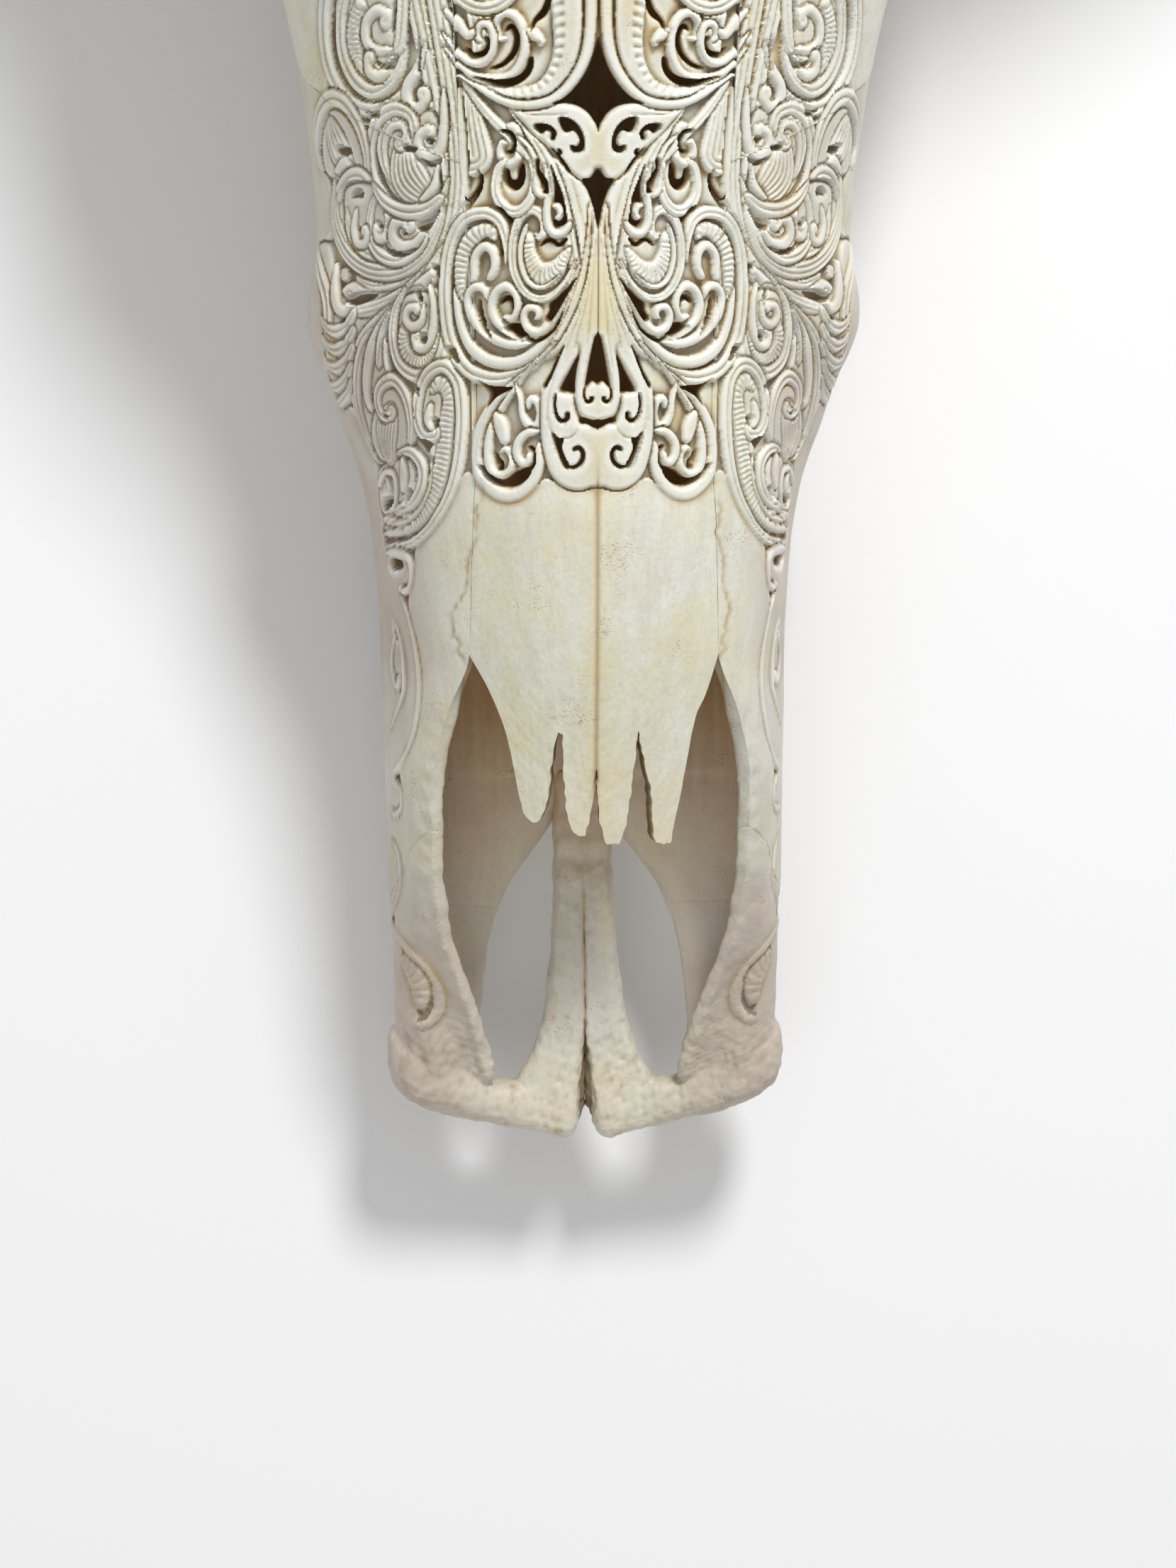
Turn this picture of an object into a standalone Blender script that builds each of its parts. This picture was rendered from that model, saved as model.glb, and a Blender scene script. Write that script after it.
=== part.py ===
"""A carved buffalo skull at life size: the bones, the upper teeth and the horns, each in its own solid.

The skull lies on its cheek teeth and on the two processes beside the neck joint, forehead up.
Sizes are in millimetres: X runs to the animal's left, Y from the muzzle to the neck, Z up from the floor.
At the end everything is moved so that the origin is under the middle of the whole.
"""

import math

import bmesh
import bpy
import numpy as np
from mathutils import Matrix
from mathutils import Vector

MM = 0.001
GAP = 0.35  # left between neighbouring bones
FLAT_ANGLE = 3.0  # faces that turn less than this many degrees are joined
SIDES = {"left": 1, "right": -1}

BONE = (0.80, 0.75, 0.64)
HORN = (0.045, 0.04, 0.038)

# The face is one surface over the length of the head, drawn by five lines on each side. A line is
# counted by t: 0 the midline, 1 the upper rim of the side wall, 2 its shoulder, 3 its widest, 4 the teeth.
FACE_AT = (12, 30, 50, 65, 80, 95, 108, 125, 145, 165, 182, 200, 222, 246, 262, 290, 320, 350, 385, 415, 440)
FACE_LINES = {
    "top_z": (58, 66, 73, 78, 83, 89, 94, 99, 104, 109, 114, 118, 124, 131, 136, 146, 154, 160, 165, 166, 161),
    "rim_x": (
        (22, 26.5, 33, 34.5, 34.5, 31.5, 26.6, 26, 25.5, 25.5, 26)
        + (27, 28, 29, 31, 38, 43, 42, 42, 44, 44)
    ),
    "rim_z": (34, 44, 55, 62, 68, 76, 84, 89, 94, 99, 104, 109, 116, 125, 131, 142, 150, 157, 162, 163, 158),
    "side_x": (34, 38, 40.5, 41, 41.5, 41, 39.5, 40, 41, 44, 47, 47.5, 50, 54, 59, 70, 81, 75, 69, 68, 66),
    "side_z": (36, 42, 48, 51, 55, 60, 66, 71, 76, 81, 86, 92, 101, 110, 117, 127, 131, 137, 142, 144, 140),
    "wide_x": (43, 43, 43.6, 44.2, 44.3, 44.8, 45, 45.6, 48, 54.5, 60, 57.8, 59.5, 63.7, 71, 86),
    "wide_z": (31, 34, 37, 38, 39, 40, 42, 45, 50, 60, 66, 70, 78, 86, 92, 96),
    "edge_x": (39, 38, 37.5, 38, 38.5, 39, 39.5, 41, 44, 47, 49, 49, 50, 50, 49, 46),
    "edge_z": (24, 24, 25, 26, 26, 27, 27, 26, 24, 22, 22, 23, 25, 28, 32, 40),
}

# The wall of the upper jaw, from the corner of the muzzle to behind the last tooth
WALL_AT = (
    (14, 22, 32, 42, 52, 62, 72, 78, 83, 84, 94, 105, 116)
    + (127, 138, 150, 162, 173, 184, 196, 212, 230, 248, 264, 280, 294)
)
FRONT_WALL = 5.0
FREE_RIM = (2.5, 2.0)  # how far the rim is rounded inwards and down where nothing meets it
CAVITY_HALF = ((110, 150, 240, 300), (32, 31, 29, 28))
CAVITY_FADE = ((100, 126, 150), (0, 0.6, 1))  # from a wall of even thickness to the cavity's own shape
CAVITY_ROOF = 5.0
CORNER_ROUND = 3.0
# The bone runs inwards below the nose: a slot on each side at first, then a closed palate
PALATE_EDGE = (
    (12, 20, 26, 33, 46, 58, 65, 72, 78, 82),
    (22.5, 23.6, 24.9, 24.2, 22.5, 18.5, 14, 9.5, 6.9, 6.6),
)
PALATE_CLOSED = 83.5
PALATE_THICK = 4.0
PALATE_OVER_EDGE = 2.0
WALL_END = (0.8, 8)  # the hindmost ring again, this much smaller and this far back

# The plate of the muzzle from its outer corner inwards: distance from the midline, front, back, low, high
MUZZLE_PLATE = (
    (44.2, 17, 24, 27, 36),
    (42.5, 13, 28, 24.5, 40),
    (38, 8.5, 28, 22.5, 42),
    (32, 6, 27, 22, 41),
    (26, 4.6, 22, 22, 38),
    (20, 3.4, 12.5, 22.5, 33.5),
    (14, 2.0, 12.8, 23, 32),
    (9, 0.8, 19, 24, 32),
    (5, 0, 20, 24.5, 32),
    (2.2, 1.2, 20, 25, 31.5),
)
PROCESS_AT = (10, 20, 26, 33, 42, 56, 83)
PROCESS_EDGE = (10.5, 9.6, 8.8, 7.8, 7.1, 6.4, 6.2)
PROCESS_GAP = ((0, 20, 30), (1.4, 0.6, 0.175))
PROCESS_LOW = ((10, 84), (25, 28))
PROCESS_HIGH = ((10, 30, 84), (31, 33, 34))

# Seams that part the side of the face into bones, each a point and the direction towards the bone behind it
PREMAXILLA_SEAM = ((40, 62, 50), (0.10, 0.86, -0.50))
CHEEK_SEAM = ((50, 200, 118), (0.0, 0.70, 0.714))
TEAR_SEAM = ((50, 250, 84), (0.0, -0.12, 0.99))
BROW_SEAM = ((29, 252, 124), (-0.41, 0.65, 0.64))

# Six cheek teeth on each side: length of each, then breadth
TOOTH_START = 141.0
TOOTH_LENGTHS = (17, 19, 20, 25, 28, 30)
TOOTH_BREADTHS = (14, 17, 19, 22, 23, 22)
TOOTH_FROM_WALL = 1.0
TOOTH_INTO_BONE = 6.0
TOOTH_APART = 0.25  # half the furrow between two teeth
TOOTH_EDGE = (1.2, 4.0)  # how much the chewing face is smaller all round, and how high that edge reaches
TOOTH_TAPER = 0.8

NOSE_JOINS = 100.0  # in front of this the rim of the wall is free, behind it the nasal bone meets it
NASAL_AT = (67, 70, 76, 83, 91, 100, 108, 122, 145, 165, 182, 205, 230, 251.65)
NASAL_THICK = 3.6
NASAL_CLEAR = 0.8  # left under the nasal bone, above the wall that carries it
NASAL_EDGE = ((67, 73, 87, 96, 108), (13.5, 15.9, 19.4, 22.8, 26.2))
# The tip of each nasal bone is notched in two; the notch and the point's slant, in plan
NASAL_NOTCH = ((9.4, 64), (8.7, 80), (7.2, 90.5), (6.3, 81), (5.0, 64))
NASAL_SPLIT = ((-1, 64), (-1, 74), (0.2, 79), (2.4, 69), (2.8, 64))
# Openwork on the midline of the nose, one half of each hole
HOLES = (
    ((0, 224.5), (6.4, 215.4), (0, 211.5)),
    ((0, 204), (4.2, 202.6), (2.2, 196), (0, 193.4)),
    ((0, 171), (3.7, 161.8), (0, 160.5)),
)

ORBIT_CENTRE = (84.0, 292.0, 98.0)
ORBIT_AXIS = (0.90, -0.27, 0.24)
ORBIT_RADIUS = 27.0
ORBIT_TURN = (0, 45, 90, 135, 180, 225, 270, 315, 360)
RIM_REACH = (40, 42, 47, 48, 46, 43, 40, 39, 40)
RIM_FALL = (10, 11, 15, 15, 13, 12, 13, 12, 10)
RIM_STEP = 22.5
RIM_EDGE = ((-1, -1.5), (3, 0), (7, -3))  # out from the socket's radius, and along its axis
RIM_FOOT = (3, 9)
RIM_ROOT = (-3, -25)
SOCKET_BACK = 6.0
SOCKET_DEPTH = 46.0

FRONTAL_AT = (252, 262, 276, 290, 305, 320, 336, 358, 385, 415, 430, 438)
FRONTAL_LOW = ((252, 290, 320, 390, 438), (112, 111, 112, 120, 118))
FRONTAL_SWELL = ((252, 270), (0.4, 1.0))  # how far the forehead stands over the wall of the face
FRONTAL_EDGE = 16.0

HORN_HALF = (43.0, 32.0)  # at the root, along the head and upwards
HORN_PATH = (
    (76, 396, 138),
    (98, 398.5, 138),
    (134, 409, 135),
    (172, 427, 131),
    (212, 448, 128),
    (250, 476, 127),
    (282, 512, 128),
    (304, 554, 132),
    (315, 598, 139),
    (314, 640, 148),
    (305, 672, 156),
)
HORN_SECTIONS = (0, 0.04, 0.1, 0.19, 0.29, 0.39, 0.49, 0.59, 0.69, 0.78, 0.86, 0.925, 0.97, 0.995)
HORN_SIDES = 12
HORN_THINS = (0.62, 0.12)  # the power of the distance left to the tip, and a slight loss along the way
HORN_CORNERS = (0.09, 0.6)  # how much its three corners swell, and where the first one lies
HORN_FLATTENS = 0.22
CORE_SECTIONS = ((22, 0.84), (11, 0.93), (0.7, 0.955))  # how far inside the horn's root, and its share of it
CORE_CLEAR = 0.03  # the same share more for the hole that it leaves in the braincase

# The arch below the eye: points along it, then half its breadth and half its height at each
CHEEK_ARCH = (((84, 312, 68), (91, 326, 70), (93, 339.65, 71)), ((4, 8), (6, 10), (6, 10.5)))
TEMPLE_ARCH = (
    ((93, 340, 71), (92, 354, 74), (84, 370, 79), (72, 382, 84), (52, 392, 88)),
    ((6, 10.5), (6, 10.5), (7, 10.5), (9, 12), (11, 14)),
)

BRAINCASE_AT = (256, 280, 303, 330, 360, 390, 415, 437.6)
BRAINCASE_HALF = (20, 23, 27, 41, 49, 57, 65, 70)
BRAINCASE_LOW = (66, 62, 58, 54, 50, 47, 46, 46)
BRAINCASE_HIGH = (106, 108, 110, 111, 114, 118, 117, 117)
THROAT_PLATE = ((303, 38, 66), (312, 33, 66), (324, 36, 64), (338, 46, 62))  # distance, low, high
THROAT_PLATE_X = 17.0
THROAT_PLATE_HALF = 2.6
EAR_BULLA = ((46, 404, 52), (12, 18, 16))

NECK_AT = (438.4, 445, 451, 455)
NECK_SHRINK = (1.0, 0.99, 0.95, 0.88)
NECK_MIDDLE = (0, 100)
NECK_OUTLINE = ((0, 161), (34, 159), (56, 150), (68, 132), (75, 104), (71, 80), (54, 62), (30, 52), (0, 50))
NECK_KNUCKLE = ((23, 455, 64), (14, 14, 19))
# The process beside each knuckle, from its root down to the floor: place, half breadth, half length
NECK_PROCESS = (
    ((47, 447, 72), 13, 8),
    ((46, 447, 40), 8, 8),
    ((44, 446, 12), 5.5, 7),
    ((43, 445, 0), 4.5, 5.5),
)
SPINAL_HOLE = ((0, 458, 74), (15, 13.5, 42))


def smooth(at, stations, values):
    """A monotone cubic through the values at the stations, read at any distance along them."""
    x = np.asarray(stations, float)
    v = np.asarray(values, float)
    step = np.diff(x)
    slope = np.diff(v) / step
    turning = slope[:-1] * slope[1:] <= 0
    before = np.where(turning, 1, slope[:-1])
    after = np.where(turning, 1, slope[1:])
    first = 2 * step[1:] + step[:-1]
    second = step[1:] + 2 * step[:-1]
    inner = np.where(turning, 0, (first + second) / (first / before + second / after))
    tangent = np.concatenate([slope[:1], inner, slope[-1:]])
    at = np.clip(np.asarray(at, float), x[0], x[-1])
    k = np.clip(np.searchsorted(x, at) - 1, 0, len(step) - 1)
    u = (at - x[k]) / step[k]
    start = v[k] * (1 + 2 * u) * (1 - u) ** 2 + tangent[k] * step[k] * u * (1 - u) ** 2
    end = v[k + 1] * u * u * (3 - 2 * u) + tangent[k + 1] * step[k] * u * u * (u - 1)
    return start + end


def along_face(name, y):
    row = FACE_LINES[name]
    return float(smooth(y, FACE_AT[: len(row)], row))


def face(y, t):
    """The (x, z) points of the outer face at distance y, for each t from 0 to 4."""
    knots = [(0, along_face("top_z", y))]
    for name in ("rim", "side", "wide", "edge"):
        knots.append((along_face(name + "_x", y), along_face(name + "_z", y)))
    knots = np.array(knots)
    before = knots[1] * (-1, 1)
    after = 2 * knots[4] - knots[3]
    knots = np.vstack([before, knots, after])
    t = np.asarray(t, float)
    k = np.clip(t.astype(int), 0, 3)
    u = (t - k)[:, None]
    p0, p1, p2, p3 = (knots[k + i] for i in range(4))
    cubic = 3 * (p1 - p2) + p3 - p0
    square = 2 * p0 - 5 * p1 + 4 * p2 - p3
    return p1 + 0.5 * u * ((p2 - p0) + u * (square + u * cubic))


def inward(line, depth):
    """A line of (x, z) points moved square to itself, towards the inside of the head."""
    run = np.gradient(line, axis=0)
    square = np.stack([run[:, 1], -run[:, 0]], 1)
    return line + square / np.linalg.norm(square, axis=1, keepdims=True) * depth


def section(points, y, side):
    """A ring of (x, z) points stood at distance y on one side of the head."""
    points = np.asarray(points, float)
    return np.stack([points[:, 0] * side, np.full(len(points), float(y)), points[:, 1]], 1)


def mirrored(points, side):
    return np.asarray(points, float) * (side, 1, 1)


def oval(centre, across, up, half_across, half_up, count=12, power=2.0):
    """A ring round a centre; a power over 2 makes it squarer."""
    turn = np.arange(count) * 2 * math.pi / count
    c = np.cos(turn)
    s = np.sin(turn)
    c = np.sign(c) * abs(c) ** (2 / power)
    s = np.sign(s) * abs(s) ** (2 / power)
    return np.asarray(centre) + np.outer(c * half_across, across) + np.outer(s * half_up, up)


def name_of(side):
    return next(name for name, value in SIDES.items() if value == side)


def tidy(mesh):
    """Welds, triangulates and turns all faces outwards."""
    body = bmesh.new()
    body.from_mesh(mesh)
    bmesh.ops.remove_doubles(body, verts=body.verts, dist=0.03 * MM)
    bmesh.ops.dissolve_degenerate(body, edges=body.edges, dist=0.01 * MM)
    bmesh.ops.triangulate(body, faces=body.faces)
    bmesh.ops.recalc_face_normals(body, faces=body.faces)
    if body.calc_volume(signed=True) < 0:
        bmesh.ops.reverse_faces(body, faces=body.faces)
    body.to_mesh(mesh)
    body.free()


def keep_largest(mesh):
    """Drops the small chips that a cut can leave beside the bone."""
    body = bmesh.new()
    body.from_mesh(mesh)
    left = set(body.verts)
    groups = []
    while left:
        group = set()
        front = [left.pop()]
        while front:
            vert = front.pop()
            group.add(vert)
            near = {edge.other_vert(vert) for edge in vert.link_edges} & left
            left -= near
            front.extend(near)
        groups.append(group)
    groups.sort(key=len)
    chips = [vert for group in groups[:-1] for vert in group]
    bmesh.ops.delete(body, geom=chips, context="VERTS")
    body.to_mesh(mesh)
    body.free()


def loft(name, rings, colour=None, round_trip=False):
    """A closed solid through a row of rings with the same number of points; a helper if it has no colour."""
    rings = np.asarray(rings, float) * MM
    stations, around = rings.shape[:2]
    at = np.arange(stations * around).reshape(stations, around)
    if round_trip:
        at = np.vstack([at, at[:1]])
    beside = np.roll(at, -1, axis=1)
    faces = np.stack([at[:-1], beside[:-1], beside[1:], at[1:]], -1).reshape(-1, 4).tolist()
    if not round_trip:
        faces += [at[0][::-1].tolist(), at[-1].tolist()]
    mesh = bpy.data.meshes.new(name)
    mesh.from_pydata(rings.reshape(-1, 3).tolist(), [], faces)
    tidy(mesh)
    obj = bpy.data.objects.new(name, mesh)
    if colour:
        skull.objects.link(obj)
        mesh.materials.append(finish(name, colour))
    else:
        helpers.objects.link(obj)
        obj.hide_render = True
        obj.display_type = "WIRE"
    return obj


def finish(name, colour):
    material = bpy.data.materials.new(name + "_finish")
    material.use_nodes = True
    shader = material.node_tree.nodes["Principled BSDF"]
    shader.inputs["Base Color"].default_value = (*colour, 1)
    shader.inputs["Roughness"].default_value = 0.35 if colour == HORN else 0.6
    shader.inputs["Metallic"].default_value = 0.0
    return material


def ellipsoid(name, centre, radii, axis=(0, 0, 1), detail=(14, 8)):
    """A helper shape: an ellipsoid whose third radius lies along the axis."""
    body = bmesh.new()
    bmesh.ops.create_uvsphere(body, u_segments=detail[0], v_segments=detail[1], radius=1)
    turn = Vector(axis).to_track_quat("Z", "Y").to_matrix().to_4x4()
    place = Matrix.Translation(Vector(centre) * MM) @ turn @ Matrix.Diagonal((*(Vector(radii) * MM), 1))
    bmesh.ops.transform(body, matrix=place, verts=body.verts)
    mesh = bpy.data.meshes.new(name)
    body.to_mesh(mesh)
    body.free()
    obj = bpy.data.objects.new(name, mesh)
    helpers.objects.link(obj)
    obj.hide_render = True
    obj.display_type = "WIRE"
    return obj


def prism(name, outline, side, low, high):
    """A helper shape: a flat outline in X and Y between two heights."""
    rings = [[(x * side, y, z) for x, y in outline] for z in (low, high)]
    return loft(name, rings)


def boolean(obj, other, operation):
    modifier = obj.modifiers.new(operation.lower(), "BOOLEAN")
    modifier.operation = operation
    modifier.object = other
    modifier.solver = "EXACT"
    graph = bpy.context.evaluated_depsgraph_get()
    made = bpy.data.meshes.new_from_object(obj.evaluated_get(graph))
    obj.modifiers.remove(modifier)
    obj.data = made
    tidy(made)
    bpy.data.objects.remove(other)


def cut(obj, helper):
    boolean(obj, helper, "DIFFERENCE")
    keep_largest(obj.data)


def join(obj, helper):
    boolean(obj, helper, "UNION")


def part_off(obj, seam, side, keep):
    """Parts the bone at a seam and keeps what lies before it (-1) or behind it (1), half a gap away."""
    normal = Vector(mirrored(seam[1], side)).normalized()
    size = 1.0
    centre = Vector(mirrored(seam[0], side)) * MM + normal * keep * (GAP * MM / 2 - size / 2)
    body = bmesh.new()
    turn = normal.to_track_quat("Z", "Y").to_matrix().to_4x4()
    bmesh.ops.create_cube(body, size=size, matrix=Matrix.Translation(centre) @ turn)
    mesh = bpy.data.meshes.new("beyond_seam")
    body.to_mesh(mesh)
    body.free()
    beyond = bpy.data.objects.new("beyond_seam", mesh)
    helpers.objects.link(beyond)
    cut(obj, beyond)


def copy_of(obj, name):
    other = bpy.data.objects.new(name, obj.data.copy())
    skull.objects.link(other)
    other.data.materials[0] = finish(name, BONE)
    return other


def wall(side):
    """The side of the face in one piece: outer wall, tooth edge, palate and the wall of the nose."""
    rings = []
    for y in WALL_AT:
        outer = face(y, np.linspace(1, 4, 8))
        edge_x, edge_z = outer[-1]
        under = edge_z + PALATE_OVER_EDGE
        floor = under + PALATE_THICK
        meet = float(smooth(y, *PALATE_EDGE)) if y < PALATE_CLOSED else GAP / 2
        thin = inward(face(y, np.linspace(1.15, 3.3, 5)), FRONT_WALL)
        half = float(smooth(y, *CAVITY_HALF))
        roof = outer[0, 1] - CAVITY_ROOF
        height = roof - floor
        full = np.array(
            [
                (min(outer[0, 0], half) - CORNER_ROUND, roof),
                (half - CORNER_ROUND / 2, roof - height / 4),
                (half, roof - height / 2),
                (half, floor + 4 * CORNER_ROUND),
                (half - CORNER_ROUND, floor + CORNER_ROUND),
            ]
        )
        blend = float(smooth(y, *CAVITY_FADE))
        inside = thin * (1 - blend) + full * blend
        inside[:, 1] = np.maximum(inside[:, 1], floor + CORNER_ROUND / 2)
        corner = outer[0] - (FREE_RIM if y < NOSE_JOINS else (-GAP, NASAL_THICK + NASAL_CLEAR))
        between = np.array([edge_x + meet, 2 * edge_z]) / 2
        low = [(edge_x - 1.5, edge_z - 1), between + (0, 1), (meet, under), (meet, floor)]
        outer[0, 0] += GAP
        rings.append(section([*outer, *low, *inside[::-1], corner], y, side))
    end = rings[-1]
    middle = end.mean(0)
    rings.append(middle + (end - middle) * WALL_END[0] + (0, WALL_END[1], 0))
    return loft(f"maxilla_{name_of(side)}", rings, BONE)


def teeth(side):
    """The six cheek teeth of one side, each a rounded block that stands on the floor."""
    blocks = []
    start = TOOTH_START
    for length, breadth in zip(TOOTH_LENGTHS, TOOTH_BREADTHS):
        middle = start + length / 2
        outside = along_face("edge_x", middle) - TOOTH_FROM_WALL
        height = along_face("edge_z", middle) + TOOTH_INTO_BONE
        rings = []
        for z, shrink in ((height, TOOTH_TAPER), (TOOTH_EDGE[1], 0), (0, TOOTH_EDGE[0])):
            centre = (side * (outside - breadth / 2), middle, z)
            half = (breadth / 2 - shrink, length / 2 - TOOTH_APART - shrink)
            rings.append(oval(centre, (1, 0, 0), (0, 1, 0), half[0], half[1], 8, 3.2))
        blocks.append(loft("tooth", rings))
        start += length
    return blocks


def muzzle_plate(side):
    """The plate across the front of the muzzle, from its outer corner in to the midline."""
    rings = []
    for x, front, back, low, high in MUZZLE_PLATE:
        centre = (x * side, (front + back) / 2, (low + high) / 2)
        rings.append(oval(centre, (0, 1, 0), (0, 0, 1), (back - front) / 2, (high - low) / 2, 10, 2.6))
    return loft("muzzle_plate", rings)


def palatine_process(side):
    """The narrow bar beside the midline that floors the nose between the two slots."""
    rings = []
    for y, edge in zip(PROCESS_AT, PROCESS_EDGE):
        gap = float(smooth(y, *PROCESS_GAP))
        low = float(smooth(y, *PROCESS_LOW))
        high = float(smooth(y, *PROCESS_HIGH))
        centre = (side * (gap + edge) / 2, y, (low + high) / 2)
        rings.append(oval(centre, (1, 0, 0), (0, 0, 1), (edge - gap) / 2, (high - low) / 2, 8, 3.5))
    return loft("palatine_process", rings)


def nasal(side):
    """One nasal bone: an arched plate with openwork beside the midline and a tip in two points."""
    rings = []
    for y in NASAL_AT:
        top = along_face("top_z", y)
        shoulder = max(y, NASAL_EDGE[0][-1])
        fall = along_face("top_z", shoulder) - along_face("rim_z", shoulder)
        arch = fall / along_face("rim_x", shoulder) ** 2
        edge = float(smooth(y, *NASAL_EDGE)) if y < shoulder else along_face("rim_x", y)
        across = np.linspace(GAP / 2, edge - GAP, 6)
        upper = np.stack([across, top - arch * across**2], 1)
        lower = (upper - (0, NASAL_THICK))[::-1]
        rings.append(section([*upper, *lower], y, side))
    bone = loft(f"nasal_{name_of(side)}", rings, BONE)
    for outline in (NASAL_NOTCH, NASAL_SPLIT, *HOLES):
        closed = [(x if x > 0 else x - 1, y) for x, y in outline]
        cut(bone, prism("gap", closed, side, 60, 150))
    return bone


def orbit_frame(side):
    """The eye socket: its centre, the way it faces, upwards and forwards."""
    centre = Vector(mirrored(ORBIT_CENTRE, side))
    axis = Vector(mirrored(ORBIT_AXIS, side)).normalized()
    up = (Vector((0, 0, 1)) - axis * axis.z).normalized()
    forward = up.cross(axis)
    return centre, axis, up, forward if forward.y < 0 else -forward


def orbit_rim(side):
    """The raised rim round the eye socket; its turn counts from straight up, forwards."""
    centre, axis, up, forward = orbit_frame(side)
    rings = []
    for turn in np.arange(0, 360, RIM_STEP):
        angle = math.radians(turn)
        out = up * math.cos(angle) + forward * math.sin(angle)
        reach = float(smooth(turn, ORBIT_TURN, RIM_REACH))
        fall = float(smooth(turn, ORBIT_TURN, RIM_FALL))
        profile = [(ORBIT_RADIUS + wider, depth) for wider, depth in RIM_EDGE]
        profile.append((reach, -fall))
        profile.append((reach - RIM_FOOT[0], -fall - RIM_FOOT[1]))
        profile.append((ORBIT_RADIUS + RIM_ROOT[0], RIM_ROOT[1]))
        rings.append([centre + out * radius + axis * depth for radius, depth in profile])
    return loft("orbit_rim", rings, round_trip=True)


def eye_socket(side):
    centre, axis, _, _ = orbit_frame(side)
    radii = (ORBIT_RADIUS, ORBIT_RADIUS, SOCKET_DEPTH)
    return ellipsoid("eye_socket", centre - axis * SOCKET_BACK, radii, axis)


def forehead(side):
    """One half of the forehead, a thick plate from the nasal bones to the poll."""
    rings = []
    for y in FRONTAL_AT:
        low = float(smooth(y, *FRONTAL_LOW))
        swell = float(smooth(y, *FRONTAL_SWELL))
        upper = face(y, np.linspace(0, 2, 7)) + (0, swell)
        upper[-1, 0] += swell
        upper[0, 0] = GAP / 2
        half, edge = upper[-1]
        under = max(low, edge - FRONTAL_EDGE)
        lower = [(half - 1, edge - 5), (half * 0.8, under), (half * 0.5, low), (GAP / 2, low)]
        rings.append(section([*upper, *lower], y, side))
    return loft("forehead", rings)


def horn_ring(side, distance, size, part):
    """A rounded three-sided ring of the horn, at a distance along its path."""
    path = mirrored(HORN_PATH, side)
    length = np.concatenate([[0], np.cumsum(np.linalg.norm(np.diff(path, axis=0), axis=1))])

    def on_path(at):
        return np.array([smooth(at, length, path[:, k]) for k in range(3)])

    run = Vector(on_path(distance + 8) - on_path(distance - 8)).normalized()
    up = (Vector((0, 0, 1)) - run * run.z).normalized()
    across = run.cross(up) * side
    turn = np.arange(HORN_SIDES) * 2 * math.pi / HORN_SIDES
    swell = size * (1 + HORN_CORNERS[0] * np.cos(3 * turn + HORN_CORNERS[1]))
    wide = HORN_HALF[0] * swell
    high = HORN_HALF[1] * swell * (1 - HORN_FLATTENS * part)
    return on_path(distance) + np.outer(np.cos(turn) * wide, across) + np.outer(np.sin(turn) * high, up)


def horn(side):
    """A swept-back horn that thins evenly to its tip."""
    path = mirrored(HORN_PATH, side)
    total = np.linalg.norm(np.diff(path, axis=0), axis=1).sum()
    rings = []
    for part in HORN_SECTIONS:
        size = (1 - part) ** HORN_THINS[0] * (1 - HORN_THINS[1] * part)
        rings.append(horn_ring(side, part * total, size, part))
    return loft(f"horn_{name_of(side)}", rings, HORN)


def horn_core(side, swell=0.0):
    """The stump of bone that the horn grows on."""
    rings = []
    for back, size in CORE_SECTIONS:
        rings.append(horn_ring(side, 0, size + swell, 0) - (side * back, 0, 0))
    return loft("horn_core", rings)


def arch(side, points, halves, meets):
    """Half of the arch below the eye, oval in section and cut square at the end that meets the other half."""
    path = mirrored(points, side)
    run = np.gradient(path, axis=0)
    run[meets] = (0, 1, 0)
    rings = []
    for point, ahead, (half_across, half_up) in zip(path, run, halves):
        ahead = Vector(ahead).normalized()
        up = (Vector((0, 0, 1)) - ahead * ahead.z).normalized()
        rings.append(oval(point, ahead.cross(up), up, half_across, half_up, 10, 2.4))
    return loft("arch", rings)


def pterygoid(side):
    """The thin plate that hangs behind the palate, beside the way from nose to throat."""
    rings = []
    for y, low, high in THROAT_PLATE:
        centre = (THROAT_PLATE_X * side, y, (low + high) / 2)
        rings.append(oval(centre, (1, 0, 0), (0, 0, 1), THROAT_PLATE_HALF, (high - low) / 2, 8, 3))
    return loft("pterygoid", rings)


def spinal_hole():
    return ellipsoid("spinal_hole", *SPINAL_HOLE, (0, 1, 0), (14, 9))


def braincase():
    """The braincase under the forehead, with the temples' half of the arches and the throat's plates."""
    rings = []
    for y, half, low, high in zip(BRAINCASE_AT, BRAINCASE_HALF, BRAINCASE_LOW, BRAINCASE_HIGH):
        rings.append(oval((0, y, (low + high) / 2), (1, 0, 0), (0, 0, 1), half, (high - low) / 2, 18, 2.6))
    bone = loft("braincase", rings, BONE)
    for side in SIDES.values():
        join(bone, ellipsoid("ear_bulla", mirrored(EAR_BULLA[0], side), EAR_BULLA[1], detail=(10, 6)))
        join(bone, pterygoid(side))
        join(bone, arch(side, *TEMPLE_ARCH, 0))
        cut(bone, horn_core(side, CORE_CLEAR))
    cut(bone, spinal_hole())
    return bone


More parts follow.
